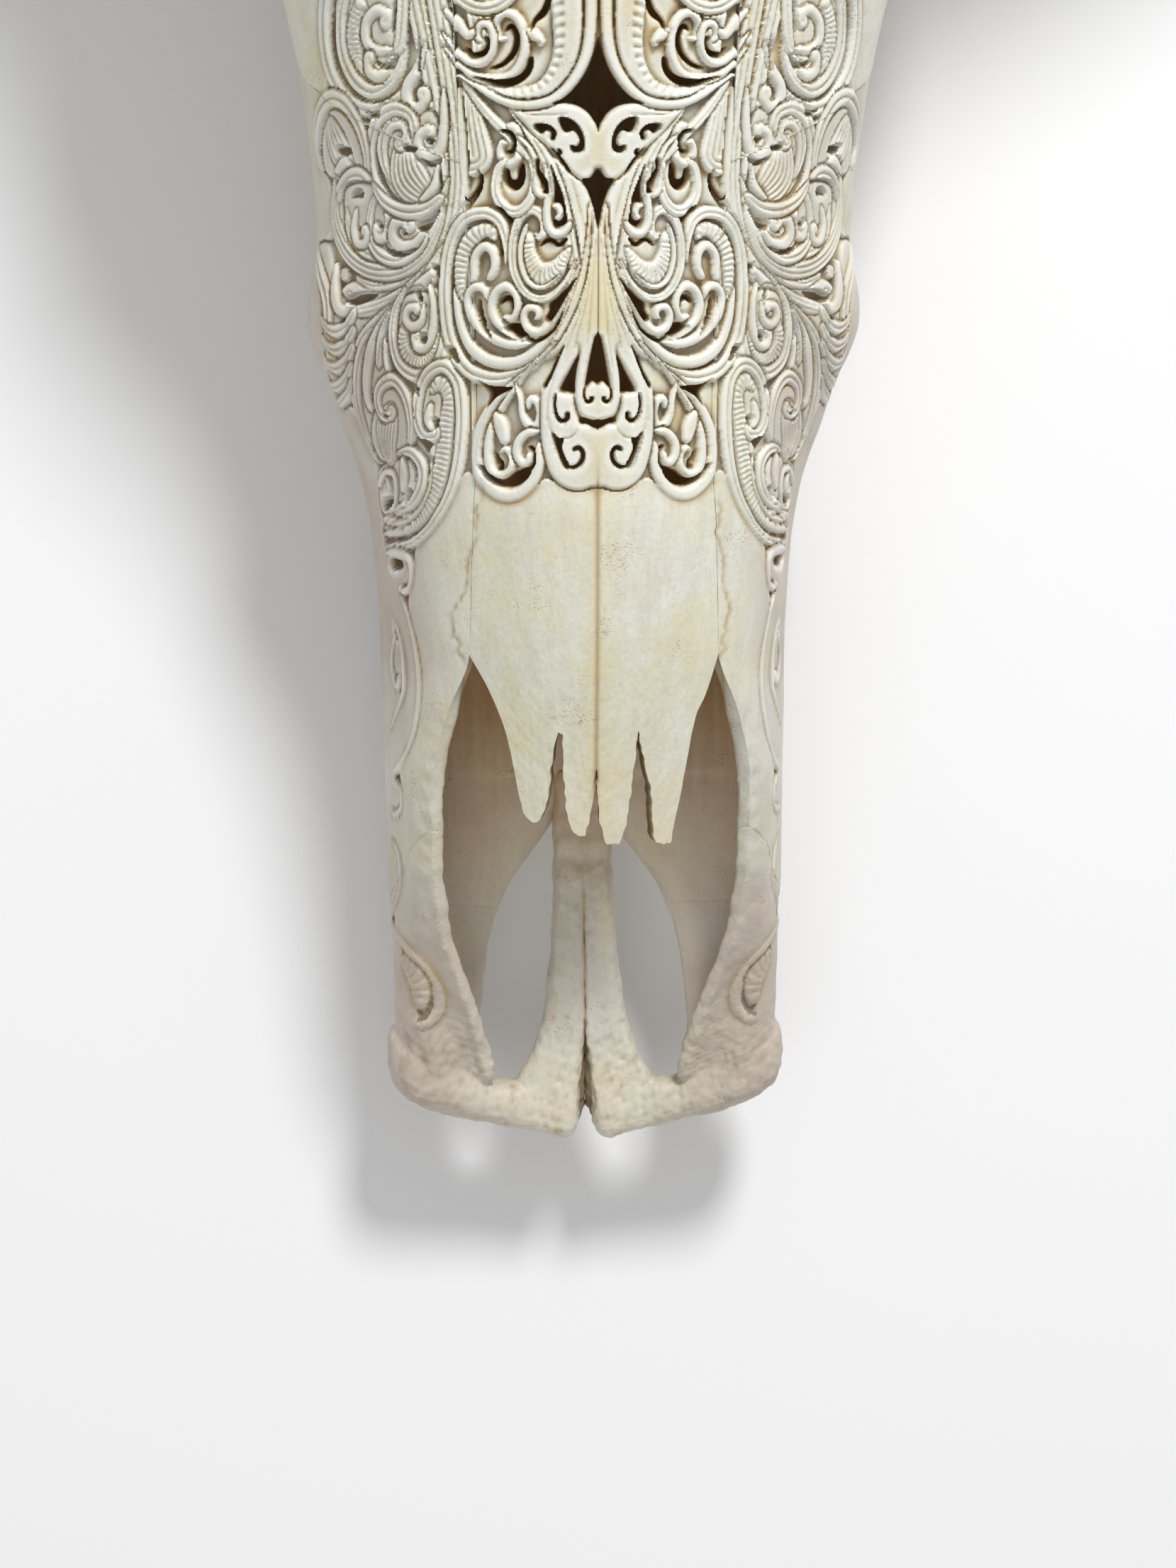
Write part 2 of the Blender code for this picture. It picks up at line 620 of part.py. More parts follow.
def occipital():
    """The back of the skull, with the knuckles of the neck joint and the two processes that it lies on."""
    half = np.array(NECK_OUTLINE, float)
    outline = np.vstack([half, half[-2:0:-1] * (-1, 1)])
    middle = np.array(NECK_MIDDLE)
    rings = []
    for y, shrink in zip(NECK_AT, NECK_SHRINK):
        rings.append(section(middle + (outline - middle) * shrink, y, 1))
    bone = loft("occipital", rings, BONE)
    for side in SIDES.values():
        place = mirrored(NECK_KNUCKLE[0], side)
        join(bone, ellipsoid("neck_knuckle", place, NECK_KNUCKLE[1], detail=(10, 7)))
        rings = []
        for at, half_across, half_along in NECK_PROCESS:
            rings.append(oval(mirrored(at, side), (1, 0, 0), (0, 1, 0), half_across, half_along, 8, 2.4))
        join(bone, loft("neck_process", rings))
    cut(bone, spinal_hole())
    return bone


def simplify(mesh):
    """Merges faces that lie in one plane, which the cuts leave in many pieces."""
    body = bmesh.new()
    body.from_mesh(mesh)
    flat = math.radians(FLAT_ANGLE)
    bmesh.ops.dissolve_limit(body, angle_limit=flat, verts=body.verts, edges=body.edges)
    body.to_mesh(mesh)
    body.free()
    tidy(mesh)


def settle(objects):
    """Moves the whole so that the origin is on the floor, under the middle of its box."""
    points = np.concatenate([[vert.co[:] for vert in obj.data.vertices] for obj in objects])
    low = points.min(0)
    middle = (low + points.max(0)) / 2
    shift = Matrix.Translation((-middle[0], -middle[1], -low[2]))
    for obj in objects:
        simplify(obj.data)
        obj.data.transform(shift)
        obj.data.shade_smooth()
        obj.data.set_sharp_from_angle(angle=math.radians(40))


for old in list(bpy.data.objects):
    bpy.data.objects.remove(old)
skull = bpy.data.collections.new("carved_skull")
helpers = bpy.data.collections.new("cutters")
bpy.context.scene.collection.children.link(skull)
bpy.context.scene.collection.children.link(helpers)

bones = [braincase(), occipital()]
for side in SIDES.values():
    word = name_of(side)
    jaw = wall(side)
    join(jaw, forehead(side))
    join(jaw, orbit_rim(side))
    join(jaw, horn_core(side))
    join(jaw, arch(side, *CHEEK_ARCH, -1))
    cut(jaw, eye_socket(side))

    front = copy_of(jaw, f"premaxilla_{word}")
    part_off(front, PREMAXILLA_SEAM, side, -1)
    join(front, muzzle_plate(side))
    join(front, palatine_process(side))
    part_off(jaw, PREMAXILLA_SEAM, side, 1)

    brow = copy_of(jaw, f"frontal_{word}")
    part_off(jaw, CHEEK_SEAM, side, -1)
    part_off(brow, CHEEK_SEAM, side, 1)
    tear = copy_of(brow, f"lacrimal_{word}")
    part_off(brow, BROW_SEAM, side, 1)
    part_off(tear, BROW_SEAM, side, -1)
    cheek = copy_of(tear, f"zygomatic_{word}")
    part_off(tear, TEAR_SEAM, side, 1)
    part_off(cheek, TEAR_SEAM, side, -1)
    for block in teeth(side):
        join(jaw, block)
    bones += [jaw, front, nasal(side), brow, tear, cheek, horn(side)]
settle(bones)
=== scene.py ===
# %% [markdown]
# This notebook gives a carved buffalo skull its looks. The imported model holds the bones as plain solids, and
# each step below takes one part of the skull, works out its surface as a formula over a grid of two
# parameters, and puts that in the place of the plain solid. The origin is on the floor under the middle.

# %% Frame
import bmesh
import bpy
import numpy as np
from mathutils import Matrix
from mathutils import Vector


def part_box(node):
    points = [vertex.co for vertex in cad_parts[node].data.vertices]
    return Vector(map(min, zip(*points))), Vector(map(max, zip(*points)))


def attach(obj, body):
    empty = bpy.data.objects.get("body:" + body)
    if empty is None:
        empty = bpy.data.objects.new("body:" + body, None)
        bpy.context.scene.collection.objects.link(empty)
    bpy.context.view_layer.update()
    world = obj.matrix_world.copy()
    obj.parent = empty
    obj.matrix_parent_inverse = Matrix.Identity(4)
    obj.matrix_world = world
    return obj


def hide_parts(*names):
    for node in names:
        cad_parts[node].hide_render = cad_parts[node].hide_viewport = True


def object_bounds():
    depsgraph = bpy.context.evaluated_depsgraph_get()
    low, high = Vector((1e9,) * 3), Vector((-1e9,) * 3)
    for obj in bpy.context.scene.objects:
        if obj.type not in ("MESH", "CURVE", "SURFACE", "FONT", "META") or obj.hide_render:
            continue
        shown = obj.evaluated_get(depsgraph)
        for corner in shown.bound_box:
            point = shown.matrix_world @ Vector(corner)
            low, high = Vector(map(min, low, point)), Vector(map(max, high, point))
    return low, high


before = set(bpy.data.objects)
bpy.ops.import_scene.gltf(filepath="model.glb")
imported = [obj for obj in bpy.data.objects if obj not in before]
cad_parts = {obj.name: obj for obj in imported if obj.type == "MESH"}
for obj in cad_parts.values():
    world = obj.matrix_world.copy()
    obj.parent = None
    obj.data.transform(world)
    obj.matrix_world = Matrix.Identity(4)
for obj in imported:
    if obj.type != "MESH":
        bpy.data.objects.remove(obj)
CAD_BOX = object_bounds()
MM = 0.001
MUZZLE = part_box("premaxilla_left")[0][1] / MM  # where the tip of the muzzle lies along Y, in mm
SIDES = {"left": 1, "right": -1}
print("bones:", sorted(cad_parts))

# %% [markdown]
# The face of the skull is one surface over the length of the head, drawn by five lines on each side: the
# midline, the rim of the nose, the shoulder, the widest line and the tooth edge. A smooth curve through those
# five points is the section at any distance y from the muzzle. Sizes here are in millimetres, as a maker
# reads them from a calliper, and only the last step of each piece turns them into metres.

# %% Lines of the face
FACE_AT = (12, 30, 50, 65, 80, 95, 108, 125, 145, 165, 182, 200, 222, 246, 262, 290, 320, 350, 385, 415, 440)
TOP_Z = (58, 66, 73, 78, 83, 89, 94, 99, 104, 109, 114, 118, 124, 131, 136, 146, 154, 160, 165, 166, 161)
RIM_X = (22, 26.5, 33, 34.5, 34.5, 31.5, 26.6, 26, 25.5, 25.5, 26, 27, 28, 29, 31, 38, 43, 42, 42, 44, 44)
RIM_Z = (34, 44, 55, 62, 68, 76, 84, 89, 94, 99, 104, 109, 116, 125, 131, 142, 150, 157, 162, 163, 158)
SIDE_X = (34, 38, 40.5, 41, 41.5, 41, 39.5, 40, 41, 44, 47, 47.5, 50, 54, 59, 70, 81, 75, 69, 68, 66)
SIDE_Z = (36, 42, 48, 51, 55, 60, 66, 71, 76, 81, 86, 92, 101, 110, 117, 127, 131, 137, 142, 144, 140)
WIDE_X = (43, 43, 43.6, 44.2, 44.3, 44.8, 45, 45.6, 48, 54.5, 60, 57.8, 59.5, 63.7, 71, 86)
WIDE_Z = (31, 34, 37, 38, 39, 40, 42, 45, 50, 60, 66, 70, 78, 86, 92, 96)
EDGE_X = (39, 38, 37.5, 38, 38.5, 39, 39.5, 41, 44, 47, 49, 49, 50, 50, 49, 46)
EDGE_Z = (24, 24, 25, 26, 26, 27, 27, 26, 24, 22, 22, 23, 25, 28, 32, 40)


def share(values):
    """Values held between 0 and 1, as shares of a whole."""
    return np.clip(values, 0, 1)


def through(at, stations, values):
    """A smooth curve through the values at the stations that never overshoots them, read at any distance.
    Each stretch is a cubic whose end slopes are the harmonic mean of its neighbours' slopes, or level
    where the values turn."""
    x = np.asarray(stations, float)
    v = np.asarray(values, float)
    step = np.diff(x)
    slope = np.diff(v) / step
    turning = slope[:-1] * slope[1:] <= 0
    before = np.where(turning, 1, slope[:-1])
    after = np.where(turning, 1, slope[1:])
    first = 2 * step[1:] + step[:-1]
    second = step[1:] + 2 * step[:-1]
    inner = np.where(turning, 0, (first + second) / (first / before + second / after))
    tangent = np.concatenate([slope[:1], inner, slope[-1:]])
    at = np.clip(np.asarray(at, float), x[0], x[-1])
    k = np.clip(np.searchsorted(x, at) - 1, 0, len(step) - 1)
    u = (at - x[k]) / step[k]
    start = v[k] * (1 + 2 * u) * (1 - u) ** 2 + tangent[k] * step[k] * u * (1 - u) ** 2
    end = v[k + 1] * u * u * (3 - 2 * u) + tangent[k + 1] * step[k] * u * u * (u - 1)
    return start + end


def line(values, y):
    """One line of the face, read at any y."""
    return through(y, FACE_AT[: len(values)], values)


def chained(knots, place):
    """A cubic through a row of knots, read at place = 0 for the first knot, 1 for the second and so on.
    At each knot it runs parallel to the line between its two neighbours."""
    last = knots.shape[-1] - 1
    k = np.clip(place.astype(int), 0, last - 1)
    u = place - k
    first = 2 * knots[..., :1] - knots[..., 1:2]
    final = 2 * knots[..., -1:] - knots[..., -2:-1]
    row = np.concatenate([first, knots, final], -1)
    p0, p1, p2, p3 = (np.take_along_axis(row, (k + i)[..., None], -1)[..., 0] for i in range(4))
    cubic = 3 * (p1 - p2) + p3 - p0
    square = 2 * p0 - 5 * p1 + 4 * p2 - p3
    return p1 + 0.5 * u * ((p2 - p0) + u * (square + u * cubic))


def face(y, t):
    """The x and z of the face for arrays of y and t. t counts the lines: 0 midline, 1 rim, 2 shoulder,
    3 widest, 4 tooth edge. The section is the smooth chain through its five points and, so that it arches
    evenly over the midline, through the rim of the other side."""
    y, t = np.broadcast_arrays(np.asarray(y, float), np.asarray(t, float))
    zero = np.zeros_like(y)
    x = [-line(RIM_X, y), zero, line(RIM_X, y), line(SIDE_X, y), line(WIDE_X, y), line(EDGE_X, y)]
    z = [line(RIM_Z, y), line(TOP_Z, y), line(RIM_Z, y), line(SIDE_Z, y), line(WIDE_Z, y), line(EDGE_Z, y)]
    return chained(np.stack(x, -1), t + 1), chained(np.stack(z, -1), t + 1)


print("face at y 200:", np.round(face(200, np.arange(5.0)), 1).tolist())

# %% [markdown]
# The carver worked on the curved bone, but a carving is easier to think of flat. So the face is unrolled: one
# axis is the distance from the midline along the skin of the bone, the other runs along the head. On that
# flat sheet every stroke keeps its true width, also where the bone falls away steeply.

# %% Unrolled face
SHEET_STEP = 0.25  # mm between the points of the sheet
sheet_u = np.arange(0, 150, SHEET_STEP)
sheet_y = np.arange(0, 445, SHEET_STEP)
section_t = np.linspace(0, 4, 321)
section_y = np.arange(0, 446.0)
section_x, section_z = face(section_y[:, None], section_t[None, :])
section_run = np.hypot(np.diff(section_x, axis=1), np.diff(section_z, axis=1))
section_u = np.concatenate([np.zeros((len(section_y), 1)), np.cumsum(section_run, axis=1)], 1)
section_reach = np.maximum.accumulate(section_x[:, section_t <= 3], axis=1)


def unrolled(x, y):
    """The distance along the skin of each point that lies x out from the midline, seen from above."""
    row = np.clip(y, 0, len(section_y) - 1.001)
    low = row.astype(int)
    wide = section_reach.shape[1]
    read = []
    for rows in (low, low + 1):
        read.append(np.array([np.interp(a, section_reach[r], section_u[r, :wide]) for a, r in zip(x, rows)]))
    return read[0] + (row - low) * (read[1] - read[0])


def skin_distance(y, t):
    """The distance along the skin for arrays of y and t, read between the worked-out sections."""
    row = np.clip(y, 0, len(section_y) - 1.001)
    col = np.clip(t / 4 * (len(section_t) - 1), 0, len(section_t) - 1.001)
    return read_map(section_u, row, col)


def read_map(values, row, col):
    """Reads a grid of values between its points, straight in both directions."""
    r = row.astype(int)
    c = col.astype(int)
    fr = row - r
    fc = col - c
    near = values[r, c] * (1 - fc) + values[r, c + 1] * fc
    far = values[r + 1, c] * (1 - fc) + values[r + 1, c + 1] * fc
    return near * (1 - fr) + far * fr


print("the face is", round(float(section_u[200, -1])), "mm from the midline to the teeth at y 200")

# %% [markdown]
# The ornament is cut as strokes. Each stroke follows a smooth path, is thin at its ends and full in the
# middle, may be split by fine grooves into several bands, and may end in a scroll: a spiral that goes on in
# the same bend and tightens. A later stroke lies over an earlier one, with a groove round it as the chisel
# leaves it. A plate is a flat piece within an outline. Cuts and holes take away: on the thin nasal bones they
# go right through. What nothing covers lies deeper. All this is done on the flat sheet and bent later.

# %% Chisel
GROOVE = 0.3
EDGE_ROUND = 0.95
EDGE_FALL = 0.75
BESIDE = -1.05  # height of the groove round a stroke
BAND_DEEP = 0.6  # depth of the grooves between the bands of a stroke
COMB_DEEP = 0.5
NOTHING = -9.0
LAID = -5.0  # anything higher was laid by a stroke or a plate
relief = np.full((len(sheet_y), len(sheet_u)), NOTHING)  # height over the skin
opened = np.full(relief.shape, NOTHING)  # how far inside a hole or cut a point lies, below 0 outside


def path_through(points, count=14):
    """The smooth chain through points, as a row of close points."""
    p = np.asarray(points, float).T
    place = np.linspace(0, p.shape[1] - 1, (p.shape[1] - 1) * count + 1)
    return np.stack([chained(np.broadcast_to(row, (len(place), len(row))), place) for row in p], 1)


def scroll_from(path, bend, radius, turns):
    """Goes on from the end of a path in the same bend, on a spiral whose radius shrinks evenly with the
    angle to a third of what it was."""
    run = path[-1] - path[-2]
    angle = np.linspace(0, turns * 2 * np.pi, int(26 * turns) + 8)
    size = radius * (1 - 0.66 * angle / angle[-1])
    heading = np.arctan2(run[1], run[0]) + np.sign(bend) * angle
    step = size[:-1] * np.diff(angle)
    middle = (heading[1:] + heading[:-1]) / 2
    there = np.stack([np.cos(middle), np.sin(middle)], 1) * step[:, None]
    return np.vstack([path, path[-1] + np.cumsum(there, 0)])


def laid(points, flat=False):
    """Points given as (out from the midline, back from the muzzle), moved onto the flat sheet. A point with
    a distance below zero lies on the other side."""
    path = np.asarray(points, float)
    if flat:
        return path
    out = np.sign(path[:, 0]) * unrolled(np.abs(path[:, 0]), path[:, 1])
    return np.stack([out, path[:, 1]], 1)


def measured(points, wide, scroll, flat):
    """The path of a stroke, how far along each of its points lies, and the half width there."""
    given = laid(points, flat)
    path = path_through(given)
    split = len(path) - 1
    if scroll:
        before = given[-2] - given[-3]
        last = given[-1] - given[-2]
        path = scroll_from(path, before[0] * last[1] - before[1] * last[0], *scroll[:2])
    along = np.concatenate([[0], np.cumsum(np.hypot(*np.diff(path, axis=0).T))])
    main = along[split]
    width = through(along, (0, 0.12 * main, 0.55 * main, main + 1e-6), (wide[0] * 0.4, *wide))
    if scroll:
        tail = share((along - main) / (along[-1] - main))
        knob = 0.16 * scroll[0] * share((tail - 0.8) / 0.2) ** 2
        width = np.where(along > main, wide[2] * (1 - 0.4 * tail) + knob, width)
    else:
        width = width * share((along[-1] - along) / along[-1] / 0.06) ** 0.5
    return path, along, width


def patch_round(path, reach):
    """The part of the sheet round a path, as rows, columns and the place of each point there."""
    first = np.maximum(((path.min(0) - reach) / SHEET_STEP).astype(int), 0)
    final = np.maximum(((path.max(0) + reach) / SHEET_STEP).astype(int) + 1, first + 1)
    rows = slice(first[1], final[1])
    cols = slice(first[0], final[0])
    return rows, cols, *np.meshgrid(sheet_u[cols], sheet_y[rows])


def stroke(points, wide, bands=1, scroll=None, comb=None, flat=False, cut=False):
    """Lays one stroke on the sheet. wide is its half width at the start, the middle and the end. Its top is
    flat, with edges rounded over the same distance everywhere, and fine grooves part its bands. A comb adds
    grooves square to the path: pitch, slant, and the part of the width they cover, from -1 to 1."""
    path, along, width = measured(points, wide, scroll, flat)
    legs = np.diff(path, axis=0)
    lengths = np.hypot(*legs.T)
    rows, cols, u, y = patch_round(path, width.max() + 1.5)
    gap = np.full(u.shape, 1e9)
    at = np.zeros(u.shape)
    side = np.zeros(u.shape)
    half = np.ones(u.shape)
    for k in range(len(legs)):
        du = u - path[k, 0]
        dy = y - path[k, 1]
        part = share((du * legs[k, 0] + dy * legs[k, 1]) / max(lengths[k] ** 2, 1e-9))
        off = np.hypot(du - part * legs[k, 0], dy - part * legs[k, 1])
        here = width[k] + part * (width[k + 1] - width[k])
        closer = off - here < gap
        gap = np.where(closer, off - here, gap)
        at = np.where(closer, along[k] + part * lengths[k], at)
        side = np.where(closer, np.sign(legs[k, 0] * dy - legs[k, 1] * du) * off, side)
        half = np.where(closer, here, half)
    patch = relief[rows, cols]
    if cut:
        np.maximum(opened[rows, cols], -gap, out=opened[rows, cols])
        return
    across = np.clip(side / np.maximum(half, 0.05), -1, 1)
    rounding = np.minimum(EDGE_ROUND, half * 0.8 + 0.02)
    shape = -EDGE_FALL * (1 - share(-gap / rounding)) ** 2
    if bands > 1:
        band = (across + 1) / 2 * bands
        to_groove = np.abs(band - np.round(band)) * 2 * half / bands
        inner = np.abs(across) < 1 - 0.7 / bands
        shape = shape - np.where(inner, BAND_DEEP * share(1 - to_groove / 0.45), 0)
    if comb:
        pitch, slant, inner, outer = comb
        wave = (0.5 + 0.5 * np.cos(2 * np.pi * (at + slant * side * side) / pitch)) ** 1.5
        covers = share((across - inner) * 6) * share((outer - across) * 6)
        shape = shape - COMB_DEEP * wave * covers
    inside = gap < 0
    beside = (gap < GROOVE) & ~inside
    patch[beside] = np.minimum(patch[beside], BESIDE)
    patch[inside] = shape[inside]


def cut(points, wide):
    """Pierces what lies along a path."""
    stroke(points, wide, cut=True)


def leg_gap(u, y, start, end):
    """The distance of each point from one straight leg."""
    leg = end - start
    part = share(((u - start[0]) * leg[0] + (y - start[1]) * leg[1]) / max(leg @ leg, 1e-9))
    return np.hypot(u - start[0] - part * leg[0], y - start[1] - part * leg[1])


def groove(points, wide, deep):
    """Incises a line: a notch with straight sides that is deepest along the path."""
    path = path_through(laid(points), 8)
    rows, cols, u, y = patch_round(path, wide + 0.5)
    gap = np.full(u.shape, 1e9)
    for start, end in zip(path[:-1], path[1:]):
        gap = np.minimum(gap, leg_gap(u, y, start, end))
    relief[rows, cols] -= deep * share(1 - gap / wide) * (relief[rows, cols] > LAID)


def inside_by(outline, u, y):
    """How far each point lies inside a closed outline, below 0 outside: the distance to its nearest side,
    with the sign from how many sides a line straight out crosses."""
    gap = np.full(u.shape, 1e9)
    odd = np.zeros(u.shape, bool)
    for start, end in zip(outline, np.roll(outline, -1, 0)):
        gap = np.minimum(gap, leg_gap(u, y, start, end))
        run, rise = end - start
        if abs(rise) > 1e-9:
            meets = start[0] + (y - start[1]) / rise * run
            odd ^= ((start[1] > y) != (end[1] > y)) & (u < meets)
    return np.where(odd, gap, -gap)


def rounded_outline(points):
    """A closed smooth chain through the points."""
    p = laid(points)
    return path_through(np.concatenate([p[-1:], p, p[:2]]), 6)[6:-7]


def plate(points, low=0.0, grown=False):
    """A flat piece within an outline, as much lower as low says, its edge rounded as a stroke's is. A grown
    one leaves no edge where it meets what lies under it: the higher of the two stays."""
    outline = rounded_outline(points)
    rows, cols, u, y = patch_round(outline, 1.5)
    depth = inside_by(outline, u, y)
    patch = relief[rows, cols]
    before = patch.copy() if grown else NOTHING
    patch[(depth > -GROOVE) & (depth <= 0)] = BESIDE - low
    patch[depth > 0] = (-low - EDGE_FALL * (1 - share(depth / EDGE_ROUND)) ** 2)[depth > 0]
    np.maximum(patch, before, out=patch)


def hole(points):
    """Pierces what lies within an outline."""
    outline = rounded_outline(points)
    rows, cols, u, y = patch_round(outline, 1.5)
    np.maximum(opened[rows, cols], inside_by(outline, u, y), out=opened[rows, cols])

# %% [markdown]
# The ornament of the nose grows like a plant. From the forehead two pairs of stems run down towards the
# muzzle, and from them leaves and tendrils curl away, each ending in a spiral. The list below draws the left
# side in millimetres, out from the midline and back from the muzzle, and the right side mirrors it.

# %% Stems and fans
stroke([(30, 262), (27, 246), (24.6, 236), (23.6, 226)], (2, 2.6, 2), 4)
stroke([(27, 226), (26.4, 216), (25.4, 207.5)], (0.8, 2.8, 4.2), 6)

# %% [markdown]
# Two banded stems run down beside the nose and swing out over the cheek, on a low plate that keeps the gaps
# between them shallow.

# %% Stems that run down to the side
plate([(31, 200), (36, 190.5), (44, 187.6), (52, 187), (53.6, 182), (51.6, 172), (49.6, 160), (46, 152),
    (42, 150), (41, 156), (42.4, 166), (43, 172), (42, 180), (38, 184), (33, 190)], 0.45)
stroke([(39.5, 262), (38.2, 250), (36.8, 240), (34.4, 229), (31.8, 216), (29.9, 205), (30.6, 198),
    (34, 191.4), (39, 187.2), (45, 186.2), (50, 188)], (2.42, 2.31, 1.54), 3)
stroke([(34.6, 262), (33.6, 246), (31.4, 232), (29.6, 220), (28.4, 208), (29.2, 198), (32.4, 189.6),
    (37.6, 184.6), (43.4, 181.9), (49.4, 181), (52.4, 181.6)], (2.2, 2.09, 1.32), 3)
stroke([(31.4, 192), (35, 185.8), (39.4, 181.8), (44.6, 178.6), (48.6, 174.6), (50.2, 168), (49.4, 160.6),
    (47.2, 154), (44.4, 150), (41.4, 149.4), (39.6, 151.4)], (1.76, 1.87, 1.1), 3)
stroke([(33, 187.6), (37.6, 183.8), (42.6, 179.4), (46.2, 174.4), (47.7, 168.4), (47.5, 163),
    (46.1, 160.9), (45, 162.2)], (1.28, 1.66, 1.15))
stroke([(36.4, 184), (41.2, 180.2), (44.4, 175), (45.2, 169.2)], (1.54, 1.66, 1.02), 2)
stroke([(38.6, 183), (42.4, 178), (43.6, 172.4), (43.2, 168)], (1.02, 1.15, 0.77))
cut([(42.6, 179.2), (43.5, 176.6), (43.4, 174.2)], (0.2, 0.42, 0.2))
hole([(37.3, 184.2), (36.6, 183.2), (36, 181.6), (36.9, 181.9)])
hole([(33.8, 188.6), (33.3, 186.6), (32.4, 185.6), (32.4, 187.4)])

# %% [markdown]
# Beside them sit round medallions: a leaf with cross grooves in a ring, and small scrolls round it.

# %% Medallions beside the stems
plate([(40, 226), (45, 222.4), (50, 225), (53, 232), (53, 242), (47, 246), (40.4, 242), (39.6, 233)], 0.5)
plate([(33, 202.6), (37.4, 200.4), (42, 203), (44.4, 209), (43.6, 216), (38.6, 217), (33.4, 218.4),
    (32, 211)], 0.5)
plate([(48, 208), (49.4, 217), (54, 222), (56.6, 216), (55.4, 209)], 0.4)
plate([(47, 199), (47, 205), (50, 207.4), (53, 204.6), (53, 198)], 0.45)
# the highest one
stroke([(38.2, 225), (40.8, 221.1), (45.4, 219.8), (50, 221.9), (53.7, 227.2), (55.4, 234), (55.2, 242),
    (52.8, 248.4), (48.6, 250)], (1.15, 1.92, 1.54), 2, (2.6, 0.9))
stroke([(46.4, 226.6), (49, 229.8), (49.2, 235), (47.8, 240)], (1.76, 2.53, 1.98),
    1, None, (0.95, 0.05, -1, 1))
stroke([(38.9, 230.6), (41.2, 225.2), (45.4, 223.2), (49.2, 225.9), (51.6, 231.4), (52, 238),
    (50.4, 244)], (1.02, 1.79, 1.28), 2)
stroke([(39.4, 246), (39.4, 238), (40, 232), (41.4, 229.4)], (1.02, 1.54, 1.15), 2)
stroke([(41.6, 230.6), (44.8, 230.9), (46.8, 233), (46.7, 236.4), (44.6, 238.3), (42.6, 237.4)],
    (0.9, 1.28, 1.15), 1, (1.3, 0.9))
stroke([(41.2, 229.2), (43.8, 226), (46.2, 227), (46.6, 229.4)], (0.77, 1.28, 1.15), 1, (0.9, 0.7))
cut([(44.9, 229), (43.6, 227.7), (41.6, 227.8), (40.6, 229.6)], (0.25, 0.5, 0.2))
cut([(40.9, 243), (41, 238), (41.6, 234)], (0.2, 0.5, 0.2))
cut([(36.1, 232.6), (36.1, 229), (36.2, 225.8)], (0.15, 0.38, 0.15))
# the small ring below it
stroke([(34.6, 231), (36.8, 226), (38.6, 223.2), (38.5, 220.4), (36.6, 219), (34.9, 220.4)],
    (0.77, 1.41, 1.15), 1, (1.2, 0.9))
# the one between them
stroke([(39.4, 212.6), (38.8, 206.6), (35.4, 202.2)], (2.86, 4.4, 2.86), 7)
stroke([(32.6, 207.6), (33.4, 203.6), (36.2, 200.8)], (0.64, 1.15, 0.77))
stroke([(42.4, 206), (43.7, 210), (43.8, 214), (42, 216.9), (39.4, 216.6), (38.6, 214.2), (39.6, 212.4)],
    (1.15, 1.66, 1.15), 2, (1, 0.6))
stroke([(30.4, 204.8), (32.6, 200.6), (37.4, 198.8), (42.2, 201), (45.5, 206), (46.4, 212.4),
    (44.8, 217.6), (41.2, 219.4), (38, 217.8), (37.2, 214.6), (37.6, 212.4)], (1.02, 1.73, 1.15), 2)
stroke([(31.2, 222), (31.2, 215.6), (32, 210.8), (34.4, 209.4), (36.4, 211.2), (36.2, 213.8),
    (34.6, 214.8)], (0.9, 1.34, 1.02), 1, (0.9, 0.6))
hole([(39.6, 212.2), (38.4, 212.4), (36.9, 211.6), (37, 210.9), (38.8, 211)])
hole([(34.9, 213.2), (33.9, 213.3), (33.3, 212.4), (34.2, 211.8)])
cut([(35.8, 209.3), (33.8, 208), (31.5, 208.9)], (0.15, 0.42, 0.15))
hole([(47.3, 220.1), (45.6, 219.3), (44, 219.4), (45.2, 218.1)])
# the outer ones
stroke([(54.8, 219.6), (53.4, 215), (51, 209)], (1.98, 3.3, 2.42), 5)
stroke([(46.9, 205.6), (47.2, 212), (48.9, 218), (51.9, 222.5), (55, 223.6), (57.3, 220.8), (57.7, 215.4),
    (56.6, 210.6)], (1.15, 1.92, 1.28), 2)
stroke([(53.6, 209.6), (51.6, 210.6), (50.4, 208.8)], (1.02, 1.54, 1.28))
hole([(53.2, 214.4), (51.8, 214.2), (50.3, 212.7), (51.4, 212.3), (52.8, 213.1)])
stroke([(53.8, 200), (53.7, 204), (51.6, 207.6), (48.6, 208), (46.4, 205.2), (45.6, 200.6)],
    (1.02, 1.73, 1.28), 2)
stroke([(51.2, 199), (51.2, 202.4), (49.6, 203.4), (48.4, 201.6)], (1.02, 1.41, 1.15), 1, (0.9, 0.6))
hole([(50.5, 204.2), (49.6, 205.4), (48.2, 205), (48.1, 203.7), (49.4, 204)])

# %% [markdown]
# Under the medallions two loops lie one inside the other, filled with short tendrils.

